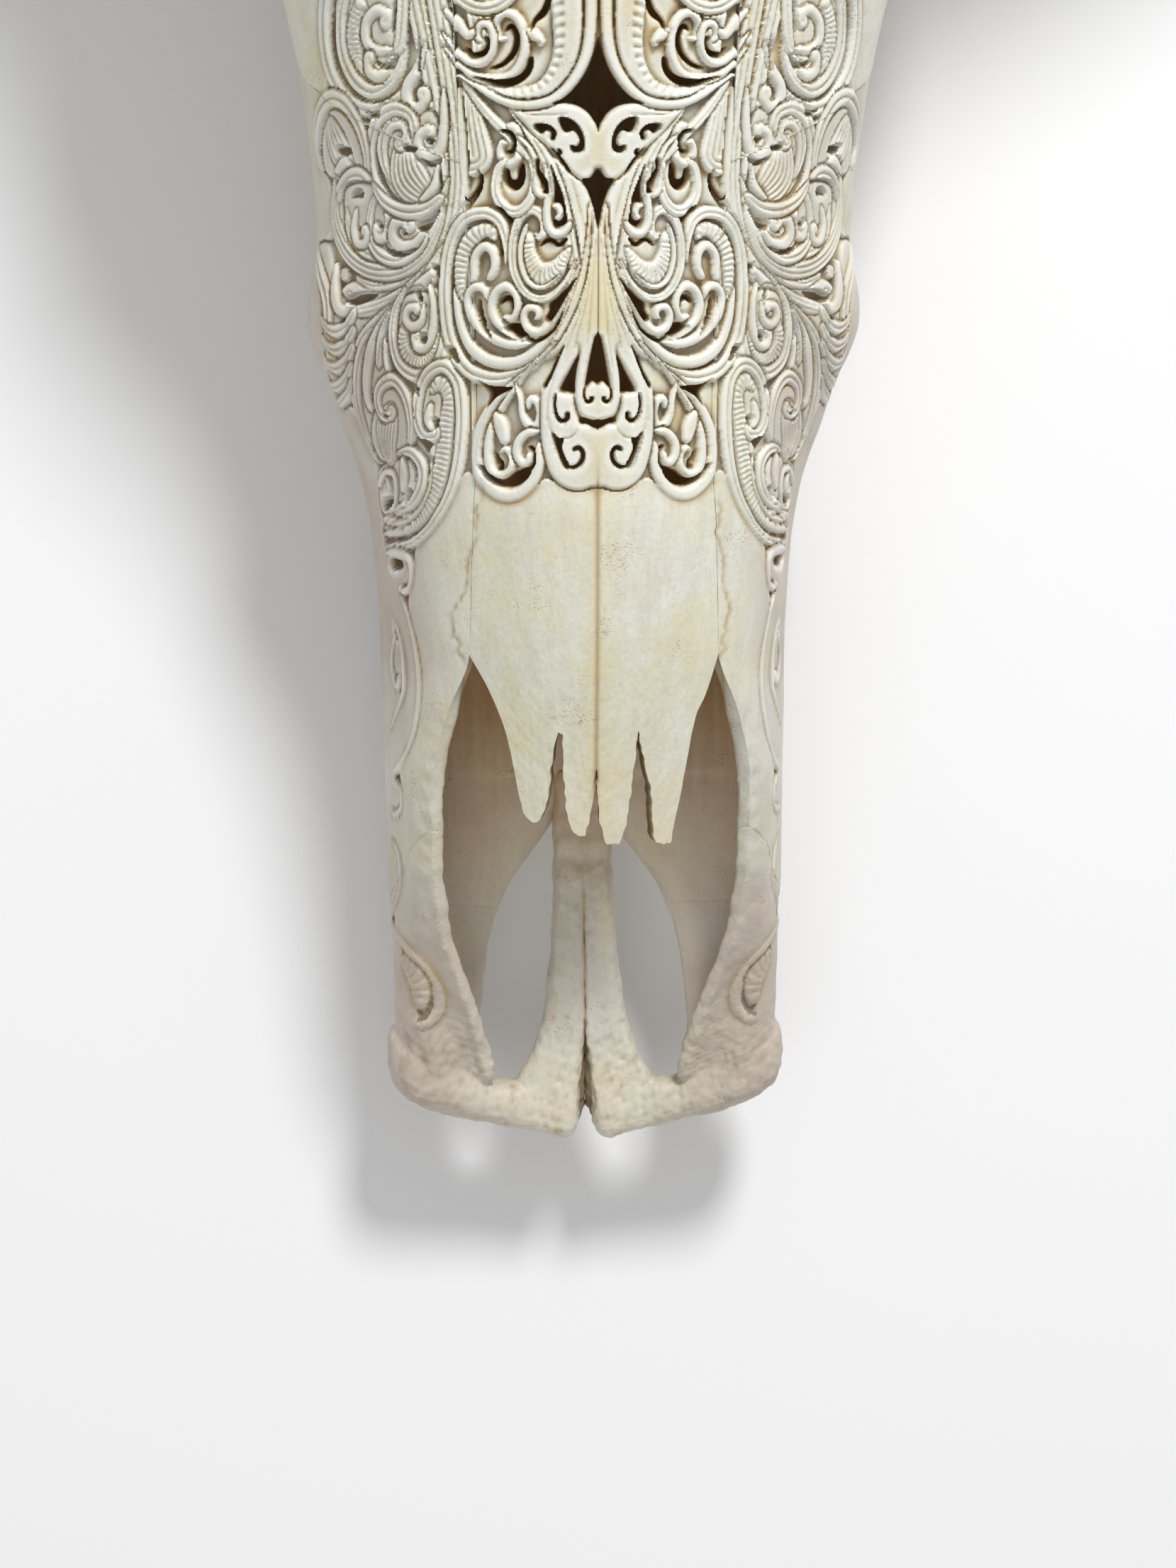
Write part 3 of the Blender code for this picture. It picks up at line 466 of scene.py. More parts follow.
# %% Nested loops and their tendrils
plate([(52, 206), (51.6, 197), (47, 191.6), (41, 190.4), (37, 192.6), (35.4, 196), (38, 199), (43, 201.6),
    (46.4, 206)], 0.55)
plate([(58, 196), (57.6, 186), (57, 176), (55.6, 164.6), (51.4, 163.4), (50.6, 172), (50.8, 180),
    (54, 188), (55.4, 196)], 0.5)
stroke([(54.2, 208), (54, 200.4), (51.6, 193.9), (47.4, 189.9), (41.9, 188.5), (36.8, 190.2),
    (33.6, 194.6), (31.6, 200)], (1.76, 2.42, 1.32), 4)
stroke([(51.6, 202), (50.7, 196.8), (48, 193), (44.4, 191.4), (41, 191)], (0.9, 1.28, 0.9), 2)
stroke([(45.2, 204.6), (46.6, 200), (46.6, 195.4), (44.4, 191.6), (40.6, 190.1), (37, 191.6),
    (34.8, 194.4)], (0.9, 1.47, 1.02), 2)
stroke([(49.4, 201.6), (50, 198), (49.3, 195), (47.7, 194.6), (47.2, 196.4)], (0.77, 1.15, 1.02),
    1, (0.9, 0.7))
stroke([(43.4, 201.4), (42.8, 198), (43.4, 195.4), (44.9, 195), (45.4, 196.6)], (0.77, 1.22, 1.02),
    1, (0.9, 0.7))
stroke([(35.4, 195.2), (37.6, 192.9), (40.2, 192.8), (42, 194.9), (41.4, 197.6), (39.2, 198.2)],
    (0.9, 1.47, 1.28), 1, (1.4, 0.9))
hole([(39.9, 195.9), (39.2, 195.9), (39.1, 195.2), (39.8, 195.1)])
stroke([(46, 206), (43.6, 202.1), (39.6, 199.6), (35.2, 199.4), (31.6, 201.6)], (1.15, 1.66, 1.02), 2)
hole([(36.7, 196.8), (34.6, 197.4), (32.4, 198.9), (33.6, 196.6), (35, 195), (36.6, 195.4)])
cut([(43.9, 193.9), (42.4, 191.9), (39.8, 191.2), (37.2, 192)], (0.15, 0.5, 0.15))
cut([(44.9, 197.9), (44.4, 197.1)], (0.3, 0.34, 0.2))
cut([(49.1, 197.9), (48.5, 197)], (0.3, 0.34, 0.2))
hole([(51.9, 184), (49.4, 184.9), (45.2, 184), (48.4, 182.7), (50.8, 182.6)])
stroke([(57.8, 197), (57.4, 190.6), (56, 184.6), (55.6, 178)], (1.15, 1.92, 1.28), 2)
stroke([(53.8, 191.4), (54.3, 186), (53.6, 182.3), (51.7, 181.6), (50.9, 183.4)], (1.02, 1.47, 1.15),
    1, (0.8, 0.5))
stroke([(57.4, 181), (56, 178.6), (53.8, 177.6), (51.6, 178.8), (50, 181.4)], (0.9, 1.5, 0.9), 2)
stroke([(57.4, 177.4), (56, 175), (53.9, 174), (51.8, 175.2), (50.2, 178)], (0.9, 1.5, 0.9), 2)
stroke([(57.2, 173.8), (56, 171.4), (54, 170.4), (52, 171.6), (50.4, 174.6)], (0.9, 1.5, 0.9), 2)
stroke([(56.8, 170.2), (55.8, 167.8), (54, 166.9), (52.2, 168.2), (50.8, 171.2)], (0.9, 1.4, 0.8), 2)
stroke([(56.2, 166.8), (55.2, 164.6), (53.6, 163.8), (52, 165), (50.8, 168)], (0.8, 1.3, 0.7), 2)
cut([(53.4, 175.9), (52.3, 176.2)], (0.25, 0.3, 0.2))
cut([(53.4, 179.4), (52.2, 179.7)], (0.25, 0.3, 0.2))

# %% [markdown]
# A smaller medallion fills the bend where the stems swing out.

# %% The small medallion
plate([(39.6, 183), (41.2, 175), (38.6, 168.6), (34, 168.6), (32.4, 174), (33, 182)], 0.5)
stroke([(38.9, 178.6), (40.1, 174.6), (39, 170.8), (36.2, 168.9), (33.8, 170.4), (32.9, 174.6)],
    (1.32, 2.09, 1.65), 1, None, (0.95, 0.06, -1, 1))
stroke([(39.6, 184.4), (41.7, 180.2), (42.2, 174.4), (40.8, 169.4), (37.4, 166.6), (33.8, 167.6),
    (31.7, 171.6), (31.3, 177), (32.6, 182), (34.8, 183.4)], (1.02, 1.6, 1.15), 2)
stroke([(34.4, 184.4), (33.6, 180), (33.9, 175.4), (35.2, 172.4), (37, 172.2), (37.7, 174)],
    (0.77, 1.22, 1.02), 1, (0.8, 0.6))
stroke([(35.6, 180.6), (36.3, 177.4), (38.1, 176.6), (39.4, 178.2), (38.9, 180.2), (37.4, 180.4)],
    (0.77, 1.15, 0.9), 1, (0.7, 0.6))
hole([(36.6, 174.6), (35.4, 175), (34.8, 174), (35.4, 172.9), (36.3, 173.4)])
hole([(31, 171.8), (30.2, 169.8), (28.6, 168.3), (28.7, 170.2), (29.6, 171.6)])

# %% [markdown]
# Lowest on the side a combed leaf curls in on itself.

# %% The leaf that curls down to the cheek
plate([(44.6, 136), (38, 134.8), (33, 141), (29.6, 151), (29, 160), (31, 166.4), (35, 165), (36.4, 158),
    (35, 150), (37, 142), (44, 138)], 0.45)
plate([(39.6, 151), (40, 162), (43, 165.6), (46, 162), (47, 155), (44.6, 150)], 0.4)
plate([(45.6, 149), (38.6, 150), (37, 146), (38.6, 141.6), (44.8, 139.4)], 0.5)
stroke([(44.6, 135.4), (39.8, 135.8), (36, 139), (33.6, 143.8), (32.2, 149.6), (31.4, 156), (30.6, 161.6),
    (32.4, 164.6), (34.6, 163)], (1.1, 2.31, 1.65), 1, None, (1.1, 0.06, -1, 1))
stroke([(44.4, 133), (40.4, 132.2), (36.4, 133.8), (32.8, 138), (30, 144), (28.6, 150.6), (28.1, 158),
    (28.8, 164.4), (31.6, 168), (35, 166.8), (37, 162.8), (37.3, 157.8), (36, 154.4), (34, 153.8)],
    (1.02, 1.6, 1.41), 2, (1.1, 0.7))
stroke([(44.8, 138.8), (41.6, 137.4), (38.2, 138.6), (35.6, 142.4), (34.4, 147)], (1.02, 1.28, 0.77), 2)
stroke([(34.4, 160.6), (35, 157.6), (34.4, 155.6)], (0.9, 1.28, 0.77))
hole([(34.3, 157.4), (33.6, 157.9), (32.9, 156.9), (33.2, 155.6), (33.9, 155.8)])
hole([(38.1, 154.5), (36.4, 153.6), (34.5, 152.8), (34.7, 151.6), (35.8, 151.1), (36.8, 152.5)])
hole([(34.8, 149.9), (34, 149.6), (33.8, 148.2), (34.5, 148.3)])
hole([(37.9, 164.7), (37.1, 164.5), (36.7, 162.7), (37.4, 163)])
# the oval with long grooves
stroke([(42.4, 161), (43.7, 155.6), (43.2, 151.2)], (2.2, 3.96, 2.64), 7)
stroke([(39.2, 151.4), (38.6, 157.4), (39.8, 163.3), (42.3, 166.5), (44.9, 165.4), (45.5, 162.2),
    (44.4, 159.4), (42.7, 159.3)], (1.02, 1.54, 1.15), 2, (0.9, 0.7))
cut([(44.4, 159.9), (43.2, 158.9)], (0.2, 0.3, 0.15))
# the ring leaf and the small scroll beside it
stroke([(41.6, 151.5), (38.7, 151.3), (36.5, 148.2), (36.5, 144), (38.4, 140.9), (42.2, 139.3)],
    (1.15, 1.66, 1.28), 2)
stroke([(40.4, 150.4), (40.1, 147), (40.5, 143.4)], (1.15, 1.73, 0.64))
cut([(38.7, 149.6), (37.8, 147.3), (37.9, 145)], (0.15, 0.32, 0.15))
hole([(39.6, 143.9), (38.4, 143.4), (38.6, 142.1), (39.9, 141.2), (39.9, 142.6)])
stroke([(42, 140.8), (41.7, 144.4), (42.4, 147.4), (44.2, 147.8), (45.4, 145.4)], (0.64, 1.02, 0.77))
stroke([(43.8, 147), (43.2, 145), (43.3, 143.4)], (0.64, 1.09, 0.64))
hole([(45, 142.4), (43.6, 142.9), (42.5, 142.4), (43, 141.2), (44.4, 140.6)])


# %% [markdown]
# On the nasal bones the ornament is pierced. A paisley of several bands holds the tendrils, and the stem of
# the nose runs down beside the midline.

# %% Paisley, oval leaf and stem of the nose
plate([(-1, 202), (1, 199), (2.4, 201.4), (3.6, 203.4), (6, 205), (10.4, 207), (8.4, 200), (6.6, 193),
    (5.4, 187), (6.4, 182), (7.4, 177), (9.6, 172), (12, 168), (8.4, 169), (5.6, 172.5), (2.6, 176),
    (-1, 177)])
stroke([(20, 219), (15.6, 213.6), (12, 208.6), (9.2, 203), (7.2, 196.6), (5.6, 190), (4.6, 183)],
    (0.6, 1.6, 1.2), 2)
groove([(8.6, 204), (6.6, 198), (4.6, 191), (3.6, 184)], 0.35, 0.45)
groove([(5.6, 203), (3.8, 197), (2.6, 190), (2.2, 182)], 0.35, 0.35)
groove([(6.4, 185), (4.4, 178), (3, 173)], 0.3, 0.4)
# bands of the paisley, from outside to inside
stroke([(1.7, 198), (2.2, 190), (4.2, 181), (8.4, 173), (14.6, 166.6), (21, 164.4), (27, 167),
    (30.4, 173.6), (31.4, 183), (30.4, 191.6), (27.6, 196.4), (23.6, 197.4), (20.6, 195.4), (19.3, 191),
    (19.6, 187)], (0.6, 1.7, 1), 2)
stroke([(4, 186), (7, 178), (11.6, 171), (17, 167.6), (22.4, 168), (26.4, 171.6), (28.4, 177),
    (28.9, 183.4), (28.4, 189)], (0.5, 1.3, 0.8), 1)
stroke([(27.6, 180.6), (28.3, 185), (27.4, 190), (25.2, 193.4), (22.6, 194), (21.6, 192.2)],
    (1.2, 1.9, 1.1), 1, None, (1.15, 0.05, -1, 0.9))
stroke([(26, 181.4), (25.5, 185.4), (25.3, 189), (23.6, 190.9), (21.9, 189.6), (21.6, 186.6),
    (22.8, 184.2)], (0.7, 1, 0.9))
stroke([(8, 180), (11.4, 174.4), (16.4, 171), (21.6, 172.4), (25.4, 176.4), (26.8, 180.6), (25.6, 183),
    (23.6, 182.4), (22.9, 180)], (0.5, 1.1, 0.8))
stroke([(10, 175.6), (14, 172.6), (18, 173), (21.2, 175.8), (22.2, 179), (21.2, 181.8), (19.2, 182.6),
    (17.4, 181), (17, 178.2), (18.2, 176.2), (20, 176.8)], (0.5, 1, 0.75))
stroke([(6, 181), (8, 177.4), (10, 174.8), (12.6, 173.2), (15, 174.2), (15.7, 176.4), (14.9, 178),
    (13.1, 177.8), (12.7, 176.4), (13.6, 175.7)], (0.4, 0.95, 0.7))
# the oval leaf
stroke([(6, 189.4), (9.4, 185), (13, 184.4), (15.2, 188), (15, 192.4)], (1.2, 2.9, 1.6),
    1, None, (1, 0.05, -0.9, 0.9))
stroke([(8, 184.2), (11.6, 182), (14.6, 183.2), (16.2, 187), (16.2, 191), (15.2, 194.6)], (0.3, 0.7, 0.5))
stroke([(4.8, 187), (7.6, 182.1), (11.4, 179.7), (15.2, 181), (17.7, 185.4), (18, 190.6), (16.9, 195.2),
    (14.4, 197.4), (12.1, 196.2), (11.4, 193.6), (12.4, 192), (13.6, 192.6)], (0.5, 1, 0.9), 2)
stroke([(11.2, 206), (10.6, 201), (10.9, 197.4), (10.6, 194.2), (9.2, 192.5), (7.2, 192.8), (5.8, 194.6)],
    (0.5, 0.95, 0.8))
stroke([(9.6, 198), (8.3, 197.6), (7.9, 196.2), (8.8, 195.4)], (0.5, 0.9, 0.6))
hole([(9.9, 205.8), (8.8, 203), (7.5, 199.8), (6.8, 196.4), (6.7, 194.9), (7.4, 194.1), (8.6, 193.9),
    (9.5, 194.5), (9.3, 195.3), (8.4, 194.9), (7.6, 195.4), (7.3, 196.6), (7.6, 197.8), (8.6, 198.5),
    (9.5, 198.6), (9.4, 200.4), (9.4, 202.8)])
cut([(12.3, 190.2), (11, 191.2), (9.8, 191), (8.5, 190.2), (7.3, 190.8), (6.5, 191.6)],
    (0.22, 0.32, 0.25))
hole([(4.6, 183.7), (6.6, 181.5), (9, 179.5), (10.5, 178.5), (10.7, 177), (11.4, 175.6), (10.4, 174.9),
    (8.9, 176.6), (7.5, 178.8), (6.2, 180.8)])
cut([(15.7, 173.3), (14.8, 171.9), (13.2, 171.3), (11.2, 172.1), (9.4, 173.5), (8.2, 175.4),
    (7.3, 177.2)], (0.28, 0.26, 0.1))
cut([(20.8, 179.4), (19.6, 180.2), (18.4, 179.4), (18.2, 178)], (0.35, 0.5, 0.25))
hole([(19.6, 174.6), (17.8, 175), (16.4, 174.4), (15.6, 172.6), (16.8, 172.2), (18.4, 173.2)])
cut([(25, 180.4), (24.7, 177.6), (23.8, 175), (22, 172.6)], (0.3, 0.36, 0.12))
cut([(21.4, 198.6), (19.6, 196.9), (18.4, 195)], (0.25, 0.4, 0.25))
cut([(20.6, 188.6), (20.4, 190.8), (20.9, 192.6)], (0.15, 0.25, 0.15))
cut([(24.6, 205.8), (24.8, 202.9), (26, 200.6), (27.8, 198.2)], (0.25, 0.6, 0.25))
groove([(13.3, 193.8), (12.9, 192.8), (13.5, 192)], 0.3, 0.6)

# %% [markdown]
# Above it a volute and long leaves grow from the stem, and two ring leaves meet over the midline.

# %% Volute, long leaves and the ring leaves under the fan
stroke([(24, 219), (20.4, 213.6), (17.6, 213.6), (16.4, 210.6), (17, 207.6), (18.8, 206.6), (20.5, 208.4),
    (20.2, 210.6), (18.9, 210.8)], (0.6, 0.95, 0.7))
cut([(20.4, 213.2), (18.6, 212.4), (17.7, 210.4), (18.5, 208.8), (19.6, 209)], (0.3, 0.45, 0.2))
stroke([(18, 212), (14.6, 207.8), (13.5, 203.4), (14.4, 199.4), (17, 197.2), (20, 198.4), (21.5, 201.6),
    (21, 205.6), (19.4, 207.4)], (0.5, 1.1, 0.9), 2)
hole([(19.9, 205.4), (19.8, 202.8), (18.2, 201.2), (16.4, 202), (15.7, 204.4), (16.2, 206.4),
    (17.2, 205.2), (17.6, 203.4), (18.7, 203.6), (19, 205)])
stroke([(17, 212), (14.4, 209.4), (12.9, 205.6), (13.2, 201.8), (12, 200.2), (11, 201.6), (12, 203.2)],
    (0.4, 0.8, 0.7))
hole([(12.8, 207.2), (12.2, 204.4), (11, 203), (10.6, 201.2), (10.9, 200.3), (11.9, 200.6), (11.6, 201.4),
    (12.4, 202.6), (13.2, 204.4), (13.3, 206.4)])
plate([(-1, 214), (0.6, 214.2), (2, 215.8), (4.4, 217.1), (8, 217.7), (12, 217.2), (16.5, 217.8),
    (21, 220), (17, 215.6), (13.6, 212), (10.6, 209.4), (8, 207), (6, 204.6), (3.7, 202.9), (1.7, 203.1),
    (0.6, 205), (-1, 205.6)])
groove([(21, 218.6), (16, 216.2), (11, 215.6), (6.6, 215.6)], 0.3, 0.4)
hole([(8.2, 214.9), (6.2, 214.7), (4.5, 213.6), (3.3, 211.8), (2.9, 209.8), (3.3, 208.5), (4.6, 208.1),
    (5.6, 208.7), (5.7, 209.6), (4.6, 209.3), (3.9, 210), (4.1, 211.2), (5.2, 212.3), (6.8, 212),
    (7.8, 212.9)])
hole([(13.6, 213.7), (11.6, 213.9), (9.9, 213.3), (8.9, 212.1), (9.3, 210.8), (10.1, 210.9), (9.9, 212.1),
    (11, 212.6), (12.2, 212)])
hole([(8.5, 208.9), (7.8, 208.6), (7.7, 207.9), (8.4, 208)])
cut([(9.8, 209.2), (7.8, 206.8), (5.8, 204.3)], (0.15, 0.26, 0.15))
stroke([(28, 224), (23, 216.6), (18.4, 211.6), (14, 206.6)], (0.6, 0.9, 0.5), 2)

# %% [markdown]
# The great lobe is the broadest leaf. The two sides leave a diamond open between them.

# %% Great lobe over the diamond
stroke([(28, 226), (22, 221), (15.6, 219.6), (10.6, 221), (7.2, 226), (6.4, 233), (7.4, 242), (10, 252),
    (17, 259)], (0.8, 3.2, 4.2), 1, None, (2.1, 0.09, -1, -0.1))
stroke([(28, 224.4), (21, 219.4), (15, 217.7), (9, 218.8), (4.4, 223.2), (2.1, 229), (1.5, 238),
    (2.2, 252), (6, 262)], (0.8, 1.3, 1.4), 1)
stroke([(31, 230), (26, 224.4), (21.4, 222.9), (18, 223.6), (15.8, 226.6), (15.3, 230.6), (16.8, 234.2),
    (19.4, 235.4), (21.2, 233.4), (20.6, 230.8), (19.2, 230.4)], (0.7, 1.05, 0.75))
cut([(25.4, 223.8), (21, 222.3), (17.4, 222.4), (15, 224), (14.2, 226.6)], (0.2, 0.75, 0.6))
cut([(22.6, 225), (20.2, 225.6), (18, 227.6), (17.2, 230.4), (18.2, 232.6), (19.5, 232)],
    (0.3, 0.62, 0.3))
stroke([(31.4, 233), (27.8, 228), (25, 226.2), (22.7, 227.2), (21.6, 230), (22.2, 233), (24, 233.6),
    (24.8, 231.6), (23.6, 230.2)], (0.5, 0.85, 0.7))
cut([(27.2, 229.2), (25.4, 227.9), (23.6, 228.2), (22.8, 229.8), (23.2, 231.2)], (0.25, 0.55, 0.25))
stroke([(31, 237), (28.6, 234.6), (26.6, 231.8), (25.4, 232.4)], (0.6, 1.1, 0.8))
stroke([(34, 248), (29.6, 240.6), (25.4, 237), (20.8, 236.8), (17.4, 239.4), (15, 245)], (0.9, 1.3, 1.3),
    2)
stroke([(14.8, 232), (13.2, 230.8), (11.8, 229.4)], (0.5, 1.2, 0.9))
cut([(14.2, 231.4), (13.4, 233.4), (11.4, 235.2), (9.9, 238.6)], (0.2, 0.7, 0.5))
groove([(14.4, 229.6), (13.4, 229.5), (12.2, 229.4)], 0.4, 1.2)
hole([(-0.6, 229.6), (0.4, 228.6), (1.2, 226.4), (2.8, 223.2), (5.2, 220.3), (7.6, 218.5), (9.5, 217.7),
    (7, 217.6), (4.2, 216.9), (2, 215.5), (0.6, 213.8), (-0.6, 213)])
hole([(-1, 204.6), (0.4, 204.4), (1.6, 203.2), (3.4, 202.8), (2.2, 200.6), (1, 197.6), (0.3, 194.6),
    (-0.4, 194)])

# %% [markdown]
# The lowest lobes end the ornament. Four stems part from one trunk on the midline, which is laid last and
# grown together with them, without an edge.

# %% Lowest lobes and the small ones between them
stroke([(9, 171), (14, 166.4), (18.5, 162.8), (22, 159.6), (24.3, 155), (25, 149.5), (24.2, 144.6),
    (21, 141), (17.4, 140.8), (14.4, 143.2), (13, 146.6), (12.9, 151)], (0.5, 1.45, 1.4))
stroke([(13, 168), (17.5, 162.6), (20.5, 158.5), (22.6, 154), (23.2, 149.6), (22.6, 146), (20.6, 144.8),
    (18.9, 146.1), (18.6, 148.6), (19.8, 150.2), (21, 149.4)], (0.4, 1, 0.75))
stroke([(21.6, 157.6), (20.6, 154.8), (19.9, 151.8)], (1, 1.6, 1.2))
stroke([(17.6, 163.4), (16.6, 159.8), (16.2, 156.8), (14.9, 154.6), (13.2, 154.6), (12.5, 156.8),
    (13.1, 159.2), (14.6, 159.8), (15, 158)], (0.5, 1.1, 0.8))
stroke([(12.9, 153.4), (15.4, 153.1), (17.3, 151.2), (17.4, 148.7), (16.2, 147), (15, 147.6),
    (15.1, 149)], (0.9, 1.1, 0.8))
hole([(24.7, 147.4), (23.9, 145), (21.8, 143.1), (19, 142.3), (16.4, 143.3), (14.7, 145.1), (15.3, 146.1),
    (17.2, 145.6), (18.7, 145), (20.6, 143.9), (22.6, 145)])
cut([(14.9, 145.7), (13.9, 147.2), (14.1, 149.2), (15.3, 150.3)], (0.4, 0.36, 0.25))
cut([(22.2, 149.4), (21.7, 148), (21, 147), (21.3, 146)], (0.2, 0.32, 0.4))
hole([(24.8, 164.4), (23, 163.2), (20.6, 162.6), (18.4, 162.4), (21.4, 160.9), (23.5, 158.7),
    (23.2, 161.4)])
groove([(11.4, 168.2), (15, 165), (19, 161.4), (22, 157.6)], 0.3, 0.45)
plate([(7.4, 170), (9.2, 166.8), (10.7, 163.8), (12.2, 161), (12.5, 156), (12.3, 151.5), (11.5, 147.5),
    (9.9, 144), (7, 141.7), (4, 141.1), (1.6, 141.7), (-0.6, 143), (-0.6, 154), (2.2, 154.5),
    (3.6, 154.6), (4.5, 156.4), (5, 158.6), (5.1, 160.5), (6.8, 160.8), (8.2, 161.3), (7.4, 163.3),
    (6.2, 165.1), (5.2, 166.7), (3.9, 168.6), (4.4, 172)])
cut([(9, 160.8), (9.35, 158.6), (8.9, 156.4), (7.8, 155.2), (6.7, 155.7), (6.5, 156.9)], (0.2, 0.28, 0.5))
hole([(9.8, 152.9), (8.7, 151.8), (7.5, 151.7), (7.9, 150), (7.2, 147.9), (6.4, 146.6), (6.3, 145.7),
    (7.2, 145.8), (8.4, 147.8), (9.3, 150.3)])
cut([(6.6, 146), (4.9, 145.9), (3.5, 147), (3.2, 148.7), (4.1, 149.8), (5.3, 149.4)], (0.3, 0.42, 0.36))
groove([(7.4, 151.8), (6, 151.9), (4.6, 153), (3.8, 154.4)], 0.3, 0.5)
groove([(7.6, 169), (9.4, 164.4), (10.7, 160), (11.1, 155.4)], 0.3, 0.4)
groove([(10.6, 156), (10.4, 154.2), (9.8, 152.9)], 0.25, 0.4)
plate([(3.7, 170), (4.4, 166), (4.9, 162.5), (5, 160.4), (4.7, 158.6), (4, 156.8), (2.8, 155.8),
    (1.2, 155.4), (-0.6, 155.5), (-0.6, 162.9), (1.2, 162.7), (2.2, 162.1), (2.8, 161.4), (2.6, 163.6),
    (1.8, 168), (0.7, 171.6), (1, 174), (3, 174)])
cut([(2.85, 161.8), (2.9, 160.1), (2.2, 159), (1.4, 159.2), (1.2, 160)], (0.12, 0.2, 0.36))
hole([(4.1, 168.2), (4.7, 165.4), (5, 162.6), (5.1, 160.8), (6.8, 160.9), (8.3, 161.3), (7.4, 163.2),
    (6.2, 165), (5.2, 166.6)])
hole([(-0.6, 172.4), (0.5, 171.8), (1.3, 169), (2.1, 165.4), (2.7, 162.1), (2.1, 162.2), (1.2, 162.9),
    (-0.6, 163.1)])
hole([(-1, 155.3), (1.2, 155.2), (2.8, 155.7), (3.9, 155.5), (3.7, 154.8), (2.2, 154.5), (1, 153.8),
    (-1, 153.4)])
cut([(7.2, 170.2), (8.8, 167.4), (10.3, 164.4), (11.9, 161.8)], (0.12, 0.3, 0.45))
# the trunk that the lowest stems grow from
plate([(-1, 193), (0.5, 192.6), (1.1, 188), (1.9, 184), (2.9, 180), (4.5, 176.2), (6.4, 173),
    (7.8, 170.4), (8.4, 167.8), (6.4, 166.8), (5.3, 168.4), (4.6, 170.4), (4, 169.4), (3.9, 166.6),
    (2.4, 166), (1.6, 168.4), (0.7, 171.8), (-1, 172.6)], grown=True)
groove([(0, 200), (0, 190), (0, 181), (0, 173)], 0.3, 0.4)
groove([(0.5, 191), (1.1, 184), (1.7, 177), (2.2, 171), (3, 165.6)], 0.28, 0.4)
groove([(1.2, 188), (2, 182), (3, 177), (4.3, 172.6), (4.9, 169.8)], 0.28, 0.4)
groove([(2.4, 181.6), (3.8, 177), (5.4, 173), (6.8, 169.6)], 0.28, 0.4)

nose_covered = relief > LAID

# %% [markdown]
# Down the edge of the jaw run a few thin scrolls, with a small combed leaf over the muzzle.

# %% Strokes on the jaw's side
stroke([(44, 131.6), (41.4, 130.8), (39.2, 129), (38.8, 125.6), (39.4, 123), (40.8, 122.4)],
    (0.9, 1.3, 1), 1, (0.9, 0.6))
hole([(43.4, 129.8), (41.4, 129), (40.8, 127.8), (42.2, 127.5), (43.2, 128.4)])
stroke([(41, 122), (39.6, 117.6), (38.3, 112), (37.5, 106), (37.5, 100), (38.1, 95), (39.3, 90),
    (41.4, 85.6), (43.2, 83)], (0.9, 1.4, 1))
stroke([(42.6, 117.6), (41.1, 112), (40.5, 106), (40.7, 100.6), (42.2, 96.6), (43.4, 93)],
    (0.7, 1.2, 0.9))
stroke([(42.4, 113.6), (43, 108), (42.6, 103.4), (41.8, 102.6), (41.6, 105)], (0.7, 1, 0.7))
stroke([(42.8, 82), (41.4, 79), (41.5, 75.6), (42.9, 74.3), (43.6, 76)], (0.7, 1.1, 0.8))
stroke([(43.6, 69), (42.3, 66.4), (41.7, 61), (42.3, 56), (43.6, 52.6)], (0.8, 1.2, 0.9))
stroke([(43.8, 51), (41.8, 46), (38.6, 42), (35.4, 38.2), (33.4, 34.4), (33.3, 30.6), (35.4, 27.6),
    (39, 26.8)], (0.9, 1.5, 1.1))
stroke([(41.6, 42.6), (38.2, 37), (37.4, 31.4)], (1.8, 2.9, 1.9), 1, None, (1.8, 0.06, -1, 1))

# %% [markdown]
# The forehead has fewer and larger strokes, drawn straight on the flat sheet because the bone bends away on
# all sides. What a carver would choose here is free.

# %% Strokes on the forehead
stroke([(0, 404), (22, 404), (46, 398), (68, 382), (84, 356), (92, 326), (92, 300)], (2.2, 2.2, 2),
    3, flat=True)
stroke([(4, 262), (6, 284), (13, 312), (28, 336), (47, 345), (61, 336), (63, 320), (54, 310)],
    (2.8, 3.4, 2.4), 3, (6.5, 1.2), flat=True)
stroke([(14, 262), (20, 284), (31, 306), (45, 318), (52, 326)], (2.2, 3, 1.6), 4, flat=True)
stroke([(11, 268), (24, 272), (37, 284), (43, 300), (38, 309), (29, 306)], (2.2, 3.6, 2.4), 1, (4, 0.9),
    (2.2, 0.03, -1, 1), flat=True)
stroke([(30, 262), (44, 276), (60, 290), (75, 292), (82, 280), (76, 271), (67, 274)], (2.4, 3.2, 2.2),
    3, (4.4, 1), flat=True)
stroke([(56, 298), (66, 306), (76, 310), (84, 304), (83, 296)], (1.8, 2.6, 1.8), 1, (3.2, 1),
    (2, 0.03, -1, 1), flat=True)
stroke([(46, 262), (56, 268), (62, 264)], (2, 2.6, 1.8), 2, flat=True)
stroke([(66, 342), (76, 338), (83, 326), (80, 316), (72, 316)], (2, 2.8, 2), 2, (3, 1), flat=True)
stroke([(3, 352), (7, 338), (18, 330), (29, 337), (29, 350), (20, 354)], (2, 2.8, 2), 2, (3.8, 1),
    flat=True)
stroke([(4, 356), (9, 373), (22, 386), (38, 387), (47, 376), (42, 366), (33, 368)], (2.4, 3.2, 2.2),
    3, (4.2, 1), flat=True)
stroke([(28, 356), (42, 357), (55, 365), (59, 377), (52, 384), (45, 380)], (2, 3, 2), 1, (2.8, 0.9),
    (2.1, 0.03, -1, 1), flat=True)
stroke([(54, 352), (66, 355), (72, 366), (66, 374), (59, 371)], (1.8, 2.6, 1.8), 2, (2.6, 0.9), flat=True)
